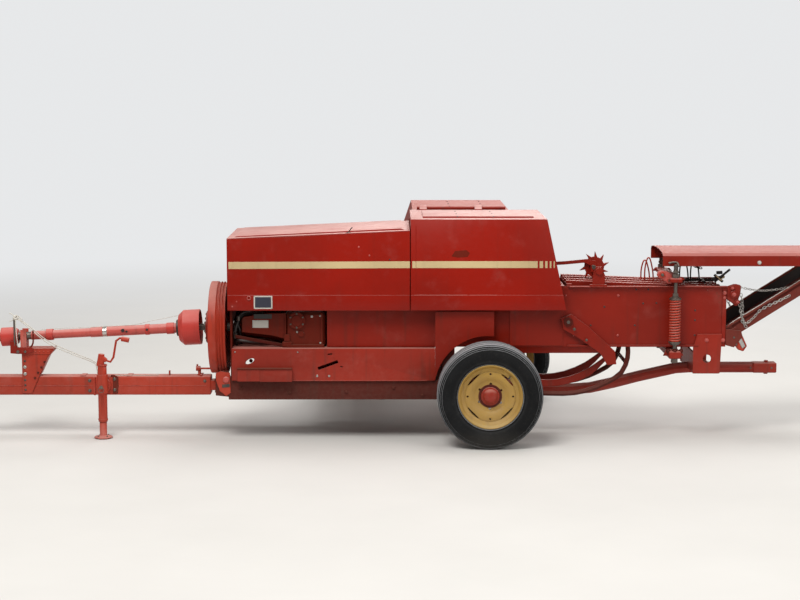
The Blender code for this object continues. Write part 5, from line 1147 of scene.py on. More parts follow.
def bars_piece(name, runs, mat, body, sides=12):
    """One piece from straight round bars (start, end, radius) in the baler's datum."""
    bm = bmesh.new()
    for start, end, radius in runs:
        bar(bm, at(*start), at(*end), radius, sides)
    return settle(soften(piece_from(bm, name), 40), mat, body)


def sheet_piece(name, outline, low, high, mat, body, plane="XZ", bevel=0.001):
    """Flat plate from an outline in the baler's datum."""
    shift = {"XZ": (DATUM.x, 0.0, DATUM.y), "YZ": (DATUM.y, 0.0, DATUM.x), "XY": (DATUM.x, DATUM.y, 0.0)}[plane]
    points = [(u + shift[0], v + shift[1]) for u, v in outline]
    return settle(plate(name, points, low + shift[2], high + shift[2], plane, bevel), mat, body)


def run_piece(name, points, radius, mat, body, steps=6, sides=10):
    """Bent rod or pipe through points in the baler's datum."""
    return settle(pipe(name, [at(*p) for p in flowing(points, steps)], radius, sides), mat, body)


def slotted_box():
    """Twine box front with its see-through oval and two tilted slots."""
    obj = dressed("front_box", frame_red, "frame", 35, 0.0016, 2)
    cutters = []
    middle = Vector((-1.557, -0.300, 0.530))
    view = (middle - Vector(CAMERA_AT)).normalized()
    bm = bmesh.new()
    tube = bar(bm, (0, 0, -0.9), (0, 0, 0.9), 0.5, 24)
    bmesh.ops.scale(bm, vec=(0.064, 0.030, 1.0), verts=tube)
    bmesh.ops.rotate(bm, cent=(0, 0, 0), matrix=Matrix.Rotation(math.radians(27), 3, "Z"), verts=tube)
    bmesh.ops.rotate(bm, cent=(0, 0, 0), matrix=Matrix.Rotation(math.radians(90), 3, "X"), verts=tube)
    lean = Vector((0, 1, 0)).rotation_difference(view).to_matrix()
    bmesh.ops.rotate(bm, cent=(0, 0, 0), matrix=lean, verts=tube)
    bmesh.ops.translate(bm, vec=middle + DATUM, verts=tube)
    cutters.append(piece_from(bm, "oval_cutter"))
    for x, z, long, tall, turn in ((-1.048, 0.504, 0.138, 0.020, 20), (-1.0345, 0.576, 0.030, 0.010, 8),
            (-0.960, 0.493, 0.016, 0.008, 0)):
        bm = bmesh.new()
        slot = slab(bm, (-long / 2, -0.03, -tall / 2), (long / 2, 0.03, tall / 2))
        bmesh.ops.rotate(bm, cent=(0, 0, 0), matrix=Matrix.Rotation(math.radians(-turn), 3, "Y"), verts=slot)
        bmesh.ops.translate(bm, vec=at(x, -0.300, z), verts=slot)
        cutters.append(piece_from(bm, "slot_cutter"))
    name = obj.name
    obj = soften(carved(obj, cutters), 30)
    obj.name = name
    settle(obj, frame_red, "frame", ("front_box",))


slotted_box()

block_piece("step_front", [((-1.638, -0.345, 0.402), (-1.4885, BOX_FACE, 0.484))], frame_red, "frame", 0.002)
block_piece("step_shadow_lip", [((-1.640, -0.352, 0.4835), (-1.2810, BOX_FACE, 0.4875))], half_shade_red, "frame",
    0.0006)
bolts("box_bolts", on_face(BOX_FACE, FRONT, (-1.1195, 0.432), (-1.041, 0.432), (-1.245, 0.590, 0.7),
    (-1.655, 0.590, 0.7)), "frame", bright, *SMALL_HEAD)
bolts("box_back_bolts", [((x, -BOX_FACE, z), BACK)
    for x in (-1.60, -1.30, -1.00, -0.70, -0.42) for z in (0.435, 0.580)], "frame", frame_red, *RAIL_HEAD)
sheet_piece("drive_screen", [(-1.690, 0.6125), (-1.058, 0.6125), (-1.058, 0.866), (-1.690, 0.866)], 0.150,
    0.154, half_shade_red, "frame")
sheet_piece("gearbox_guard", [(-1.612, 0.712), (-1.420, 0.690), (-1.331, 0.668), (-1.331, 0.836),
    (-1.440, 0.836), (-1.600, 0.812), (-1.612, 0.800)], -0.2290, -0.2255, half_shade_red, "frame", bevel=0.0008)
# The recess is a black sheet on the guard: painted shade in place of a hollow.
sheet_piece("gearbox_guard_recess", [(-1.535, 0.800), (-1.416, 0.800), (-1.416, 0.8315), (-1.535, 0.8315)],
    -0.2302, -0.2292, black, "frame", bevel=0.0003)
bordered_plate("gearbox_plate", -1.5443, -1.4397, 0.7400, 0.7910, 0.0040, plate_pale, plate_pale, "frame",
    -0.2292)
sheet_piece("gearbox_strut", [(-1.662, 0.694), (-1.655, 0.672), (-1.352, 0.6135), (-1.345, 0.634)], -0.2280,
    -0.2180, deep_shade_red, "frame")
block_piece("gearbox_foot", [((-1.350, -0.247, 0.6130), (-1.285, GEARBOX_FACE, 0.650)),
    ((-1.338, -0.243, 0.650), (-1.298, GEARBOX_FACE, 0.700))], half_shade_red, "frame", 0.004)
for name, radius, low, high in (("gearbox_boss_ring", 0.056, -0.2520, -0.2480),
        ("gearbox_boss_cap", 0.036, -0.2575, -0.2520)):
    profile = [(0.0, low), (radius - 0.003, low), (radius, low + 0.002), (radius, high), (0.0, high)]
    settle(lathe(name, profile, at(-1.253, 0.0, 0.790), "Y", 40), half_shade_red, "frame")
bolts("gearbox_boss_bolts", [((-1.253 + 0.046 * math.cos(math.radians(30 + 60 * i)), -0.2520,
    0.790 + 0.046 * math.sin(math.radians(30 + 60 * i))), FRONT) for i in range(6)], "frame", steel, 0.0056,
    0.004, 0.007)
bolts("gearbox_side_bolts", on_face(GEARBOX_FACE, FRONT, (-1.252, 0.7126), (-1.213, 0.7060, 0.85),
    (-1.232, 0.6880, 0.7), (-1.155, 0.815, 1.15), (-1.100, 0.640), (-1.100, 0.820)), "frame", bright, 0.0052,
    0.005, 0.0072)
block_piece("gearbox_flange", [((-1.098, -0.2360, 0.6130), (-1.084, GEARBOX_FACE, 0.8400)),
    ((-1.334, -0.2350, 0.6130), (-1.324, GEARBOX_FACE, 0.8400))], half_shade_red, "frame", 0.0012)
for k, points in enumerate((
        [(-1.655, -0.150, 0.620), (-1.662, -0.190, 0.680), (-1.648, -0.205, 0.760), (-1.600, -0.170, 0.820),
         (-1.480, -0.120, 0.822)],
        [(-1.640, -0.120, 0.622), (-1.630, -0.170, 0.700), (-1.640, -0.200, 0.800), (-1.560, -0.180, 0.850),
         (-1.380, -0.100, 0.846)],
        [(-1.670, -0.100, 0.640), (-1.640, -0.210, 0.655), (-1.560, -0.215, 0.648), (-1.480, -0.190, 0.640)])):
    run_piece("oil_line_%d" % k, points, 0.0105 - 0.002 * (k == 1), black, "frame", 6, 12)
bars_piece("oil_line_unions", [((-1.6615, -0.188, 0.668), (-1.6615, -0.192, 0.700), 0.0150),
    ((-1.6380, -0.200, 0.785), (-1.6380, -0.200, 0.812), 0.0130), ((-1.520, -0.130, 0.823),
    (-1.485, -0.120, 0.823), 0.0135)], steel, "frame", 8)

# front bracket and the latch gear on the tongue's end
sheet_piece("front_bracket_face", [(-1.783, 0.449), (-1.752, 0.462), (-1.690, 0.452), (-1.686, 0.318),
    (-1.716, 0.296), (-1.758, 0.330), (-1.782, 0.400)], -0.2895, -0.2850, dusty_red, "frame", bevel=0.0012)
head = [(0.0, -0.013), (0.010, -0.0125), (0.0175, -0.0100), (0.0215, -0.0050), (0.0225, 0.0), (0.0, 0.0)]
settle(lathe("front_bracket_pin", head, at(-1.7150, -0.2890, 0.4040), "Y", 32), sunned_red, "frame")
# The slot is a black sheet on the bracket: painted shade in place of an opening.
sheet_piece("front_bracket_slot", [(-1.742, 0.352), (-1.692, 0.356), (-1.692, 0.378), (-1.742, 0.374)], -0.2904,
    -0.2894, black, "frame", bevel=0.0003)
bars_piece("latch_rod", [((-1.800, -0.080, 0.446), (-1.920, -0.080, 0.446), 0.0065),
    ((-1.906, -0.080, 0.446), (-1.934, -0.080, 0.446), 0.0170), ((-1.912, -0.080, 0.446),
    (-1.912, -0.080, 0.4025), 0.0105), pin(-1.912, 0.4085, -0.105, -0.055, 0.0090),
    ((-1.926, -0.080, 0.458), (-1.926, -0.080, 0.474), 0.0060)], dusty_red, "tongue", 14)
block_piece("tongue_tab", [((-2.116, -0.090, TONGUE_TOP), (-2.106, -0.070, 0.4330))], dusty_red, "tongue",
    0.0015)
block_piece("tongue_top_ribs", [((-1.905, -0.128, TONGUE_TOP), (-1.890, -0.032, 0.4090)),
    ((-2.700, -0.128, TONGUE_TOP), (-2.664, -0.032, 0.4056)), ((-2.392, -0.128, TONGUE_TOP),
    (-2.356, -0.032, 0.4056))], dusty_red, "tongue", 0.0012)
settle(pipe("tongue_seam", [at(x, TONGUE_SIDE, 0.3375) for x in (-3.292, -2.860, -2.420, -1.860)], 0.0019, 8),
    dusty_red, "tongue")
draw = random.Random(41)
scuffs = []
x = -3.26
while x < -2.02:
    long = 0.016 + 0.038 * draw.random()
    scuffs.append(((x, -0.1326, 0.3372), (x + long, -0.1312, 0.3400 + 0.0012 * draw.random())))
    x += long + 0.03 + 0.10 * draw.random()
block_piece("tongue_scuffs", scuffs, sunned_red, "tongue", 0.0003)
bolts("tongue_bolts", on_face(TONGUE_SIDE, FRONT, (-2.636, 0.305), (-2.636, 0.373), (-1.872, 0.370, 0.9)),
    "tongue", steel, *PLAIN_HEAD)

# bolts along the chassis rails, and the dressed chassis and drawbar
bolts("rail_bolts", on_face(-0.2853, FRONT, (-1.620, 0.350), (-1.300, 0.320), (-0.930, 0.322), (-0.620, 0.350),
                            (-0.430, 0.300)), "frame", deep_shade_red, *RAIL_HEAD)
bolts("rail_back_bolts", on_face(0.2853, BACK, (-1.500, 0.350), (-1.100, 0.320), (-0.700, 0.322),
                                 (-0.250, 0.350)), "frame", deep_shade_red, *RAIL_HEAD)
dressed("main_frame", deep_shade_red, "frame", 35, 0.0014, 1)
dressed("tongue", dusty_red, "tongue", 35, 0.0030, 2)
dressed("drive_stand", dusty_red, "tongue", 35, 0.0012, 1)


# ---------------------------------------------------------------- cradle, jack fittings and twine

def twine(name, points, body, radius=0.0016, steps=5):
    """Plain twine tied at both ends; its real length is the length of its run."""
    run = [at(*p) for p in flowing(points, steps)]
    obj = settle(pipe(name, run, radius, 8), twine_white, body)
    return obj


def cradle():
    """Near cheek of the driveline's cradle: bent strap, foot and post, clear of the shaft's guard."""
    near, far = -0.1535, -0.1485
    outer = [(-3.1265, 0.772), (-3.1265, 0.640)]
    outer += [(-3.060 + 0.066 * math.cos(math.radians(180 + 15 * i)),
        0.640 + 0.062 * math.sin(math.radians(180 + 15 * i))) for i in range(1, 12)]
    outer += [(-2.994, 0.640), (-2.994, 0.712), (-3.004, 0.712)]
    outer += [(-3.060 + 0.056 * math.cos(math.radians(180 + 15 * i)),
        0.642 + 0.052 * math.sin(math.radians(180 + 15 * i))) for i in range(12, -1, -1)]
    outer += [(-3.1165, 0.772)]
    sheet_piece("cradle_strap", outer, near, far, half_shade_red, "tongue", bevel=0.001)
    block_piece("cradle_foot", [((-3.104, near, 0.5740), (-3.016, -0.1310, 0.5845)),
        ((-3.104, near, 0.5740), (-3.016, near + 0.005, 0.598))], case_red, "tongue", 0.001)
    sheet_piece("cradle_cheek", [(-3.150, 0.560), (-3.104, 0.556), (-3.034, 0.556), (-2.996, 0.572),
        (-3.004, 0.600), (-3.100, 0.600), (-3.127, 0.640), (-3.150, 0.640)], near - 0.004, near, case_red,
        "tongue", bevel=0.0008)
    bars_piece("cradle_post", [((-3.1215, near + 0.002, 0.610), (-3.1215, near + 0.002, 0.792), 0.0065),
        pin(-3.100, 0.572, near - 0.004, near - 0.011, 0.0100), pin(-3.052, 0.572, near - 0.004, near - 0.011,
        0.0080)], steel, "tongue", 12)


cradle()

# stand: top flange, folded edge, adjusting holes and bolts
block_piece("stand_top_flange", [((-3.104, -0.1425, 0.5850), (-2.868, -0.026, 0.5895)),
    ((-3.080, -0.1420, 0.5500), (-2.888, -0.1386, 0.5855))], dusty_red, "tongue", 0.0008)
bolts("stand_bolts", [((-3.061, -0.1387, z), FRONT, 1.0) for z in (0.466, 0.420)], "tongue", bright, 0.0092,
    0.004, 0.0115)
# The adjusting holes are black domes; their black is the painted shade inside the holes.
rivets("stand_holes", [((-3.061, -0.1387, z), FRONT, 1.0) for z in (0.505, 0.378, 0.344, 0.312)], "tongue",
    black, 0.0075)
rivets("stand_top_rivets", [((-3.045 + 0.028 * i, -0.1420, 0.566), FRONT, 0.8) for i in range(6)], "tongue",
    dusty_red, 0.0065)
bars_piece("stand_brace_bolts", [pin(-2.930 - 0.022 * i, 0.500 - 0.036 * i, -0.132, -0.1440,
    0.0075) for i in range(4)], deep_shade_red, "tongue", 8)

# jack: mount flange and cheek, rings on the tube, lock pin with its pull ring, foot bolts
sheet_piece("jack_mount_flange", [(-2.612, 0.282), (-2.604, 0.276), (-2.596, 0.276), (-2.596, 0.400),
    (-2.612, 0.392)], -0.1450, -0.1305, dusty_red, "tongue", bevel=0.001)
sheet_piece("jack_mount_cheek", [(-2.494, 0.286), (-2.452, 0.286), (-2.446, 0.330), (-2.446, 0.398),
    (-2.470, 0.412), (-2.494, 0.412)], -0.1390, -0.1310, half_shade_red, "tongue", bevel=0.001)
bolts("jack_mount_bolts", on_face(-0.1392, FRONT, (-2.470, 0.385), (-2.470, 0.312)), "tongue", steel, 0.0085,
    0.007, 0.0115)
for k, (z, radius) in enumerate(((0.4885, 0.0325), (0.4120, 0.0318), (0.1260, 0.0322))):
    ring = [(radius - 0.006, z - 0.0055), (radius, z - 0.0045), (radius, z + 0.0045),
        (radius - 0.006, z + 0.0055)]
    settle(lathe("jack_ring_%d" % k, ring, at(JACK_X, JACK_Y, 0.0), "Z", 32, 30), dusty_red, "jack")
bars_piece("jack_lock_pin", [pin(JACK_X, 0.348, -0.252, -0.228, 0.0062),
    pin(JACK_X, 0.348, -0.258, -0.250, 0.0125)], steel, "jack", 16)
pull_ring = upright_ring(JACK_X, -0.2585, 0.332, 0.018)
settle(pipe("jack_pin_ring", pull_ring, 0.0020, 8, closed=True), steel, "jack")
bolts("jack_foot_bolts", [((JACK_X + 0.040 * math.cos(math.radians(a)),
    JACK_Y + 0.040 * math.sin(math.radians(a)), 0.0128), UP) for a in (45, 135, 225, 315)], "jack_leg", steel,
    0.0055, 0.004, 0.0075)

# driveline: worn ring, collars and shield locks
def on_shaft(obj, x, mat):
    """Places a ring turned about X on the sloping driveline, at one place along it."""
    centre = at(x, SHAFT_Y, SHAFT_Z + (x - SHAFT_X) * SHAFT_SLOPE)
    obj.data.transform(Matrix.Translation(centre) @ Matrix.Rotation(-math.atan(SHAFT_SLOPE), 4, "Y"))
    return settle(obj, mat, "driveline")


def ring_on_shield(name, x, width, mat, depth, radius=0.033):
    """Raised ring around the driveline's shield at one place along it."""
    profile = [(radius - 0.006, -width / 2), (radius + depth, -width / 2 + 0.001),
        (radius + depth, width / 2 - 0.001), (radius - 0.006, width / 2)]
    on_shaft(lathe(name, profile, Vector((0, 0, 0)), "X", 40, 30), x, mat)


for name, x, width, mat, depth in (
        ("shield_worn_ring", -2.534, 0.030, bright, 0.0005),
        ("shield_collar_dark", -2.252, 0.030, bell_red, 0.0030),
        ("shield_collar_front", -2.900, 0.046, bell_red, 0.0045),
        ("shield_collar_rear", -2.100, 0.050, bell_red, 0.0050)):
    ring_on_shield(name, x, width, mat, depth)
bars_piece("shield_lock", [pin(-2.412, 0.706, -0.112, -0.118, 0.0120),
    pin(-2.388, 0.699, -0.110, -0.117, 0.0075), pin(-2.252, 0.712, -0.113, -0.119, 0.0085)], black, "driveline",
    14)

# twine: knot on the cradle post, drop line, two tie lines to the tongue, one line along each of tongue and shield
knot = []
for k, (tilt, wide, deep) in enumerate(((10, 0.015, 0.011), (70, 0.013, 0.012), (130, 0.016, 0.009))):
    loop = []
    for i in range(22):
        turn = math.tau * i / 22
        place = Vector((wide * math.cos(turn), deep * math.sin(turn) * 0.8, 0.008 * math.sin(turn + 0.6)))
        loop.append(at(-3.110, -0.1515, 0.797) + Matrix.Rotation(math.radians(tilt), 3, "Y") @ place)
    knot.append(pipe("knot_loop", loop, 0.0046, 8, closed=True))
for end in (
        [(-3.110, -0.151, 0.800), (-3.124, -0.152, 0.812), (-3.138, -0.153, 0.824), (-3.152, -0.154, 0.826)],
        [(-3.112, -0.151, 0.796), (-3.126, -0.154, 0.784), (-3.140, -0.156, 0.777), (-3.152, -0.157, 0.770)],
        [(-3.104, -0.151, 0.800), (-3.088, -0.153, 0.806), (-3.076, -0.154, 0.794), (-3.066, -0.154, 0.785)]):
    knot.append(pipe("knot_end", [at(*p) for p in flowing(end, 5)], 0.0030, 8))
knot_piece = settle(joined("twine_knot", knot), twine_white, "tongue")
knot_piece.data.shade_smooth()
twine("twine_tie_front", [(-3.102, -0.151, 0.792), (-3.030, -0.148, 0.734), (-2.904, -0.144, 0.626),
    (-2.740, -0.138, 0.548), (-2.610, -0.125, 0.492), (-2.588, -0.125, 0.450), (-2.584, -0.118, 0.4052)],
    "tongue", radius=0.0030)
twine("twine_tie_back", [(-3.102, -0.148, 0.796), (-3.030, -0.142, 0.744), (-2.904, -0.137, 0.640),
    (-2.740, -0.131, 0.560), (-2.606, -0.119, 0.500), (-2.580, -0.117, 0.452), (-2.574, -0.108, 0.4052)],
    "tongue", radius=0.0030)
twine("twine_drop", [(-3.112, -0.158, 0.792), (-3.110, -0.1605, 0.740), (-3.106, -0.1615, 0.680),
    (-3.101, -0.1615, 0.630), (-3.098, -0.1612, 0.602)], "tongue", radius=0.0030)
twine("twine_along_tongue", [(-2.470, -0.122, 0.4070), (-2.440, -0.118, 0.4065), (-2.340, -0.112, 0.4052),
    (-2.240, -0.108, 0.4052), (-2.180, -0.090, 0.4052)], "tongue", radius=0.0026)
twine("shield_line", [(-2.960, -0.080, 0.7075), (-2.834, -0.080, 0.7155), (-2.700, -0.082, 0.7210),
    (-2.534, -0.082, 0.7300), (-2.350, -0.082, 0.7395), (-2.236, -0.082, 0.7640), (-2.140, -0.082, 0.7830),
    (-2.052, -0.082, 0.8010)], "driveline", radius=0.0016)


# ---------------------------------------------------------------- bale case, tension gear and rear

bolts("case_bolts", on_face(CASE_FACE, FRONT, (0.5075, 0.955, 0.8), (0.849, 0.955, 1.2), (1.4324, 0.990, 0.7),
    (0.849, 0.692, 1.1), (0.5600, 0.690, 0.8)), "frame", sunned_red, 0.0056, 0.004, 0.0072)
# The holes are black domes on the wall; their black is the painted shade inside the holes.
rivets("case_holes", on_face(CASE_FACE, FRONT, (0.967, 0.994), (1.046, 0.994), (1.013, 0.902), (0.6716, 0.758),
                             (0.9606, 0.758), (1.3546, 0.856), (1.3546, 0.791), (1.3546, 0.692), (1.100, 0.905),
                             (0.760, 0.880)), "frame", black, 0.0062)
bolts("case_far_bolts", [((x, -CASE_FACE, z), BACK)
    for x in (-0.30, 0.10, 0.50, 0.90, 1.20, 1.48) for z in (0.660, 0.960)], "frame", case_red, *PLAIN_HEAD)
for side in (-1, 1):
    y0, y1 = sorted((side * -CASE_FACE, side * 0.2580))
    tag = "left" if side < 0 else "right"
    block_piece("case_top_angle_" + tag, [((0.520, y0, 1.006), (1.556, y1, 1.018))], case_red, "frame", 0.0012)
    block_piece("case_sill_angle_" + tag, [((0.520, y0, 0.6165), (1.380, y1, 0.6290))], case_red, "frame", 0.0012)
block_piece("case_end_band", [((1.5300, -0.2490, 0.640), (1.5570, -0.2452, 1.004)),
    ((1.5300, 0.2452, 0.640), (1.5570, 0.2490, 1.004))], case_red, "frame", 0.0010)
dressed("bale_case", case_red, "frame", 35, 0.0012, 1)
bolts("stand_rear_bolts", on_face(-0.2535, FRONT, (1.4324, 0.660, 1.2), (1.5400, 0.660, 1.2)), "frame",
    sunned_red, *BROAD_HEAD)

# metering link pins, needle pivot caps and yoke bolts
bars_piece("metering_link_pins", [pin(0.700, 1.128, -0.135, -0.060, 0.0085),
    pin(0.700, 1.128, -0.140, -0.132, 0.0140)], steel, "frame", 14)
bars_piece("needle_pivot_caps", [pin(0.521, 0.785, side * y0, side * y1, radius)
    for y0, y1, radius in ((0.262, 0.292, 0.0170), (0.288, 0.296, 0.0115)) for side in (-1, 1)],
    steel, "frame", 20)
bolts("needle_yoke_bolts", on_face(-0.2960, FRONT, (0.560, 0.740, 0.9), (0.640, 0.668, 0.8)), "frame", steel,
    *BROAD_HEAD)

# tension gear: nuts, washers and thread of each rod, dusty casting with its crank, lower bolts
for k, side in enumerate((-1, 1)):
    tag = ("left", "right")[k]
    y = side * ROD_Y
    nuts = []
    for z0, z1, radius in ((0.6400, 0.6520, 0.0300), (0.6525, 0.6615, 0.0400), (0.9375, 0.9440, 0.0400),
            (0.9445, 0.9580, 0.0230)):
        nuts.append(((ROD_X, y, z0), (ROD_X, y, z1), radius))
    bars_piece("tension_washers_" + tag, nuts, steel, "frame", 22)
    bars_piece("tension_nuts_" + tag, [((ROD_X, y, 0.9585), (ROD_X, y, 0.9765), 0.0200),
        ((ROD_X, y, 1.1100), (ROD_X, y, 1.1240), 0.0200)], steel, "frame", 6)
    thread = []
    for i in range(17 * 12):
        turn = math.tau * i / 12
        thread.append(at(ROD_X + 0.0140 * math.cos(turn), y + 0.0140 * math.sin(turn),
            1.1000 + 0.0036 * i / 12))
    settle(pipe("tension_thread_" + tag, thread, 0.0012, 6), steel, "frame")
sheet_piece("tension_casting", [(1.092, 1.106), (1.115, 1.124), (1.160, 1.118), (1.196, 1.092), (1.196, 1.040),
    (1.174, 1.032), (1.146, 1.052), (1.100, 1.078)], -0.292, -0.262, sunned_red, "frame", bevel=0.006)
bars_piece("tension_casting_bosses", [pin(1.128, 1.096, -0.300, -0.256, 0.0190),
    pin(1.176, 1.060, -0.298, -0.256, 0.0150)], dusty_red, "frame", 20)
bolts("tension_casting_bolts", [((1.128, BOX_FACE, 1.096), FRONT, 1.1), ((1.176, -0.2985, 1.060), FRONT)],
    "frame", steel, 0.0075, 0.006, 0.010)
run_piece("tension_crank", [(1.168, -0.285, 1.170), (1.196, -0.285, 1.176), (1.226, -0.285, 1.172),
    (1.232, -0.300, 1.150)], 0.0070, steel, "frame", 5, 10)
bolts("tension_lower_bolts", on_face(-0.3300, FRONT, (1.170, 0.600, 1.1), (1.212, 0.596, 1.4),
                                     (1.252, 0.600, 1.1)), "frame", deep_shade_red, 0.0095, 0.010, 0.014)

# loops, bars and dark levers on the case's roof
for k, (x, y, mat, rise) in enumerate(((1.086, 0.040, dusty_red, 0.150), (1.066, 0.075, dusty_red, 0.130),
        (1.318, 0.030, black, 0.150), (1.388, 0.010, black, 0.155))):
    loop = [(x - 0.026, y, 1.020), (x - 0.024, y, 1.020 + rise * 0.55), (x - 0.010, y, 1.020 + rise * 0.97),
        (x + 0.008, y, 1.020 + rise * 0.97), (x + 0.026, y, 1.020 + rise * 0.50), (x + 0.034, y, 1.020)]
    run_piece("roof_loop_%d" % k, loop, 0.0048, mat, "frame", 6, 10)
bars_piece("roof_bar", [((1.255, 0.030, 1.0260), (1.540, 0.030, 1.0260), 0.0090),
    pin(1.440, 1.0260, -0.090, 0.120, 0.0080)], black, "frame", 12)
bars_piece("roof_levers", [((1.500, -0.120, 1.030), (1.600, -0.120, 1.112), 0.0075),
    ((1.478, -0.135, 1.050), (1.560, -0.135, 1.066), 0.0105), ((1.492, -0.150, 1.080), (1.548, -0.150, 1.034),
    0.0085), ((1.515, -0.100, 1.088), (1.553, -0.100, 1.090), 0.0110)], black, "frame", 12)
bars_piece("roof_lever_marks", [((1.500, -0.1595, 1.0745), (1.540, -0.1595, 1.0420), 0.0035),
    ((1.522, -0.1595, 1.040), (1.560, -0.1595, 1.072), 0.0030)], cream, "frame", 8)


def rear_casting():
    """Latch casting at the case's upper rear corner, with its bolts and ears."""
    sheet_piece("latch_casting", [(1.5565, 1.012), (1.612, 1.030), (1.654, 1.020), (1.648, 0.960),
        (1.636, 0.930), (1.640, 0.898), (1.622, 0.880), (1.596, 0.904), (1.5565, 0.930)], -0.244, -0.220,
        case_red, "frame", bevel=0.005)
    bars_piece("latch_bosses", [pin(1.604, 0.962, -0.262, -0.216, 0.0240),
        pin(1.628, 0.912, -0.256, -0.216, 0.0160), pin(1.594, 1.004, -0.254, -0.216, 0.0150)], case_red,
        "frame", 20)
    bolts("latch_bolts", [((1.604, -0.2625, 0.962), FRONT, 1.3), ((1.628, -0.2565, 0.912), FRONT, 0.9),
        ((1.594, -0.2545, 1.004), FRONT, 0.9), ((1.545, -0.2500, 0.972), FRONT, 1.2),
        ((1.545, -0.2500, 0.940), FRONT, 0.9)], "frame", sunned_red, 0.0085, 0.006, 0.011)


rear_casting()


def chain(name, points, body, finish=bright, link=0.027, wire=0.0023):
    """Welded chain along a run: one link on every pitch of its length."""
    run = [Vector(p) for p in flowing(points, 14)]
    pitch = link * 0.72
    spots = []
    left = 0.0
    for a, b in zip(run, run[1:]):
        step = (b - a).length
        if step < 1e-9:
            continue
        while left <= step:
            place = a + (b - a) * (left / step)
            spots.append((tuple(place), tuple((b - a).normalized())))
            left += pitch
        left -= step
    return set_on_points(name, CHAIN_LINKS, spots, body, **{"Link Length": link, "Wire": wire,
        "Finish": finish})


chain("chute_chain_left", [(1.648, -0.236, 0.890), (1.660, -0.236, 0.820), (1.690, -0.233, 0.770),
    (1.740, -0.231, 0.806), (1.790, -0.231, 0.860), (1.880, -0.231, 0.905), (1.980, -0.231, 0.955)], "frame")
chain("chute_chain_drop", [(1.655, -0.236, 0.955), (1.668, -0.236, 0.870), (1.665, -0.235, 0.790),
    (1.700, -0.232, 0.736)], "frame")
chain("latch_chain", [(1.652, -0.232, 1.006), (1.730, -0.230, 0.990), (1.810, -0.229, 0.985),
    (1.890, -0.228, 0.992), (1.956, -0.2275, 1.003)], "frame", link=0.022, wire=0.0018)
chain("chute_chain_right", [(1.648, 0.236, 0.890), (1.690, 0.234, 0.800), (1.760, 0.232, 0.840),
    (1.860, 0.232, 0.890), (1.980, 0.232, 0.955)], "frame")
chain("roof_chain", [(1.330, 0.000, 1.168), (1.360, -0.004, 1.142), (1.396, -0.006, 1.118),
    (1.440, -0.004, 1.106)], "frame", black, 0.026, 0.0032)

# chute: bare top edges, dark strips, painted shadow on the far wall, worn floor, hinge block and bolts
RISE = math.radians(32.3)


def along_chute(name, start, end, across, low, high, mat, body="frame"):
    """Strip laid along the sloping chute between two distances from its foot."""
    bm = bmesh.new()
    slab(bm, (start, across[0], low), (end, across[1], high))
    bmesh.ops.bevel(bm, geom=bm.edges[:], offset=0.0008, segments=1, affect="EDGES", clamp_overlap=True)
    bmesh.ops.transform(bm, matrix=Matrix.Translation(at(1.603, 0.0, 0.672)) @ Matrix.Rotation(-RISE, 4, "Y"),
        verts=bm.verts)
    return settle(soften(piece_from(bm, name), 30), mat, body)


along_chute("chute_edge_left", 0.035, 0.770, (-0.2285, -0.2195), 0.0855, 0.0895, bright)
along_chute("chute_edge_right", 0.035, 0.770, (0.2195, 0.2285), 0.0855, 0.0895, bright)
along_chute("chute_strip_left", 0.040, 0.765, (-0.2268, -0.2252), 0.0560, 0.0850, deep_shade_red)
along_chute("chute_floor_wear", 0.060, 0.760, (-0.180, 0.180), 0.0031, 0.0037, steel)
# Painted shadow inside the far wall: a thin black sheet on its inner face.
along_chute("chute_far_wall_shadow", 0.045, 0.762, (0.2185, 0.2193), 0.0080, 0.0835, black)
sheet_piece("chute_hinge_block", [(1.590, 0.668), (1.620, 0.706), (1.668, 0.690), (1.700, 0.620),
    (1.676, 0.584), (1.640, 0.596)], -0.2470, -0.2270, dusty_red, "frame", bevel=0.003)
sheet_piece("chute_hinge_tab", [(1.636, 0.664), (1.660, 0.676), (1.690, 0.620), (1.668, 0.604)], -0.2520,
    -0.2470, bright, "frame", bevel=0.002)
bolts("chute_hinge_bolts", on_face(-0.2475, FRONT, (1.612, 0.678, 1.0), (1.628, 0.632, 0.8)), "frame", steel,
    *CHUTE_HEAD)
bolts("cover_bolts", [((1.7620, -0.2705, 1.1730), FRONT, 1.2)], "chute_extension", plate_pale, 0.0085, 0.007,
    0.011)
bolts("hitch_bolts", on_face(-0.034, FRONT, (1.910, 0.440, 1.0), (1.770, 0.440, 0.8)), "frame", steel,
    *CHUTE_HEAD)

# ---------------------------------------------------------------- clutch face, bell neck and seams on the roof

def clutch_face():
    """Pressure ring of the slip clutch with its spring bolts, clear of the bell at full swing."""
    ring = lathe("clutch_ring", [(0.066, -0.0050), (0.104, -0.0050), (0.107, -0.0030), (0.107, 0.0050),
        (0.066, 0.0050)], at(-1.852, SHAFT_Y, SHAFT_Z), "X", 60, 30)
    settle(ring, case_red, "flywheel")
    spots = []
    for k in range(12):
        turn = math.radians(15 + 30 * k)
        spots.append(((-1.8568, SHAFT_Y + 0.092 * math.cos(turn), SHAFT_Z + 0.092 * math.sin(turn)), AHEAD))
    bolts("clutch_studs", spots, "flywheel", steel, 0.0080, 0.0035, 0.0105)


def bell_neck():
    """Dark bearing ring at the neck of the rear bell."""
    profile = [(0.034, -0.0065), (0.052, -0.0065), (0.055, -0.0040), (0.055, 0.0065), (0.034, 0.0065)]
    on_shaft(lathe("bell_neck", profile, Vector((0, 0, 0)), "X", 48, 30), -2.051, black)


clutch_face()
bell_neck()

# darker red ring on the disc around the left hub
dark_hub_ring = lathe("hub_dark_ring", [(0.0605, -0.0470), (0.0605, -0.0483), (0.0760, -0.0490), (0.0760, -0.0480)],
    middle_of("left_tyre"), "Y", 64, 30)
settle(dark_hub_ring, deep_shade_red, "left_wheel")

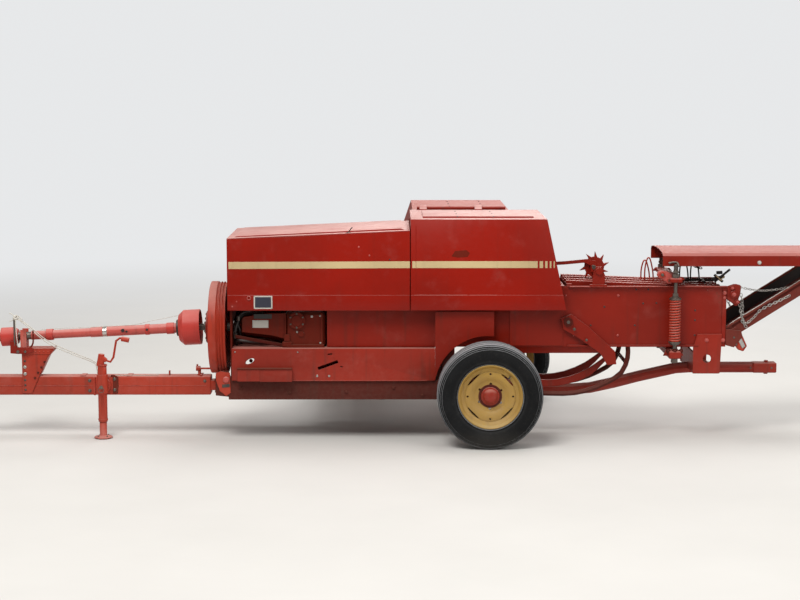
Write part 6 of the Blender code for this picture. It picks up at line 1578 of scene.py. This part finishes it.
for name, x, y, pitch, z, count, body, radius in (("housing_seam_front", -0.224, 0.560, 0.236, 1.4612, 4,
        "frame", 0.0070), ("housing_seam_rear", 0.006, 0.560, 0.236, 1.4612, 4, "frame", 0.0070),
        ("hood_seam_front", -0.204, -0.240, 0.220, 1.4712, 3, "knotter_hood", 0.0060),
        ("hood_seam_rear", 0.030, -0.240, 0.220, 1.4712, 3, "knotter_hood", 0.0060)):
    rivets(name, [((x, y + pitch * i, z), UP) for i in range(count)], body, black, radius)
# Painted shade of a shallow recess on the hood's side: a thin dark sheet just proud of the panel.
sheet_piece("hood_recess_shade", [(-0.244, 1.222), (-0.222, 1.256), (-0.150, 1.262), (-0.126, 1.244), (-0.140, 1.218),
    (-0.205, 1.214)], -0.3404, -0.3398, half_shade_red, "knotter_hood", bevel=0.0002)

# ---------------------------------------------------------------- far side: access door, seams and bolts

sheet_piece("housing_door", [(-0.300, 0.880), (0.120, 0.880), (0.120, 1.300), (-0.300, 1.300)], 1.4298, 1.4322,
    case_red, "frame", bevel=0.0009)
bars_piece("housing_hinges", [((-0.240, 1.4345, 1.304), (-0.160, 1.4345, 1.304), 0.0060),
    ((-0.020, 1.4345, 1.304), (0.060, 1.4345, 1.304), 0.0060)], steel, "frame", 14)
bars_piece("housing_latch", [pin(-0.090, 0.912, 1.4300, 1.4440, 0.0110),
    ((-0.130, 1.4420, 0.912), (-0.050, 1.4420, 0.912), 0.0048)], bright, "frame", 14)
rivets("housing_rivets_right", [((-0.380 + 0.094 * i, HOUSING_FAR, 1.402),
    BACK) for i in range(6)] + [((0.178, HOUSING_FAR, 0.700 + 0.110 * i), BACK) for i in range(6)], "frame",
    case_red, 0.0065)
rivets("box_rivets_right", [((-1.640 + 0.118 * i, 0.4402, 1.046), BACK) for i in range(10)], "frame", case_red,
    0.0065)
bolts("case_bolts_right",
    [((0.560 + 0.150 * i, 0.2452, 0.968), BACK, 0.8) for i in range(5)] + [((0.620 + 0.150 * i, 0.2452, 0.626),
    BACK, 0.8) for i in range(5)], "frame", steel, 0.0075, 0.005, 0.0105)
bolts("front_box_bolts_right", [((-1.600 + 0.200 * i, 0.3006, 0.560), BACK, 0.9) for i in range(6)], "frame",
    steel, *BROAD_HEAD)
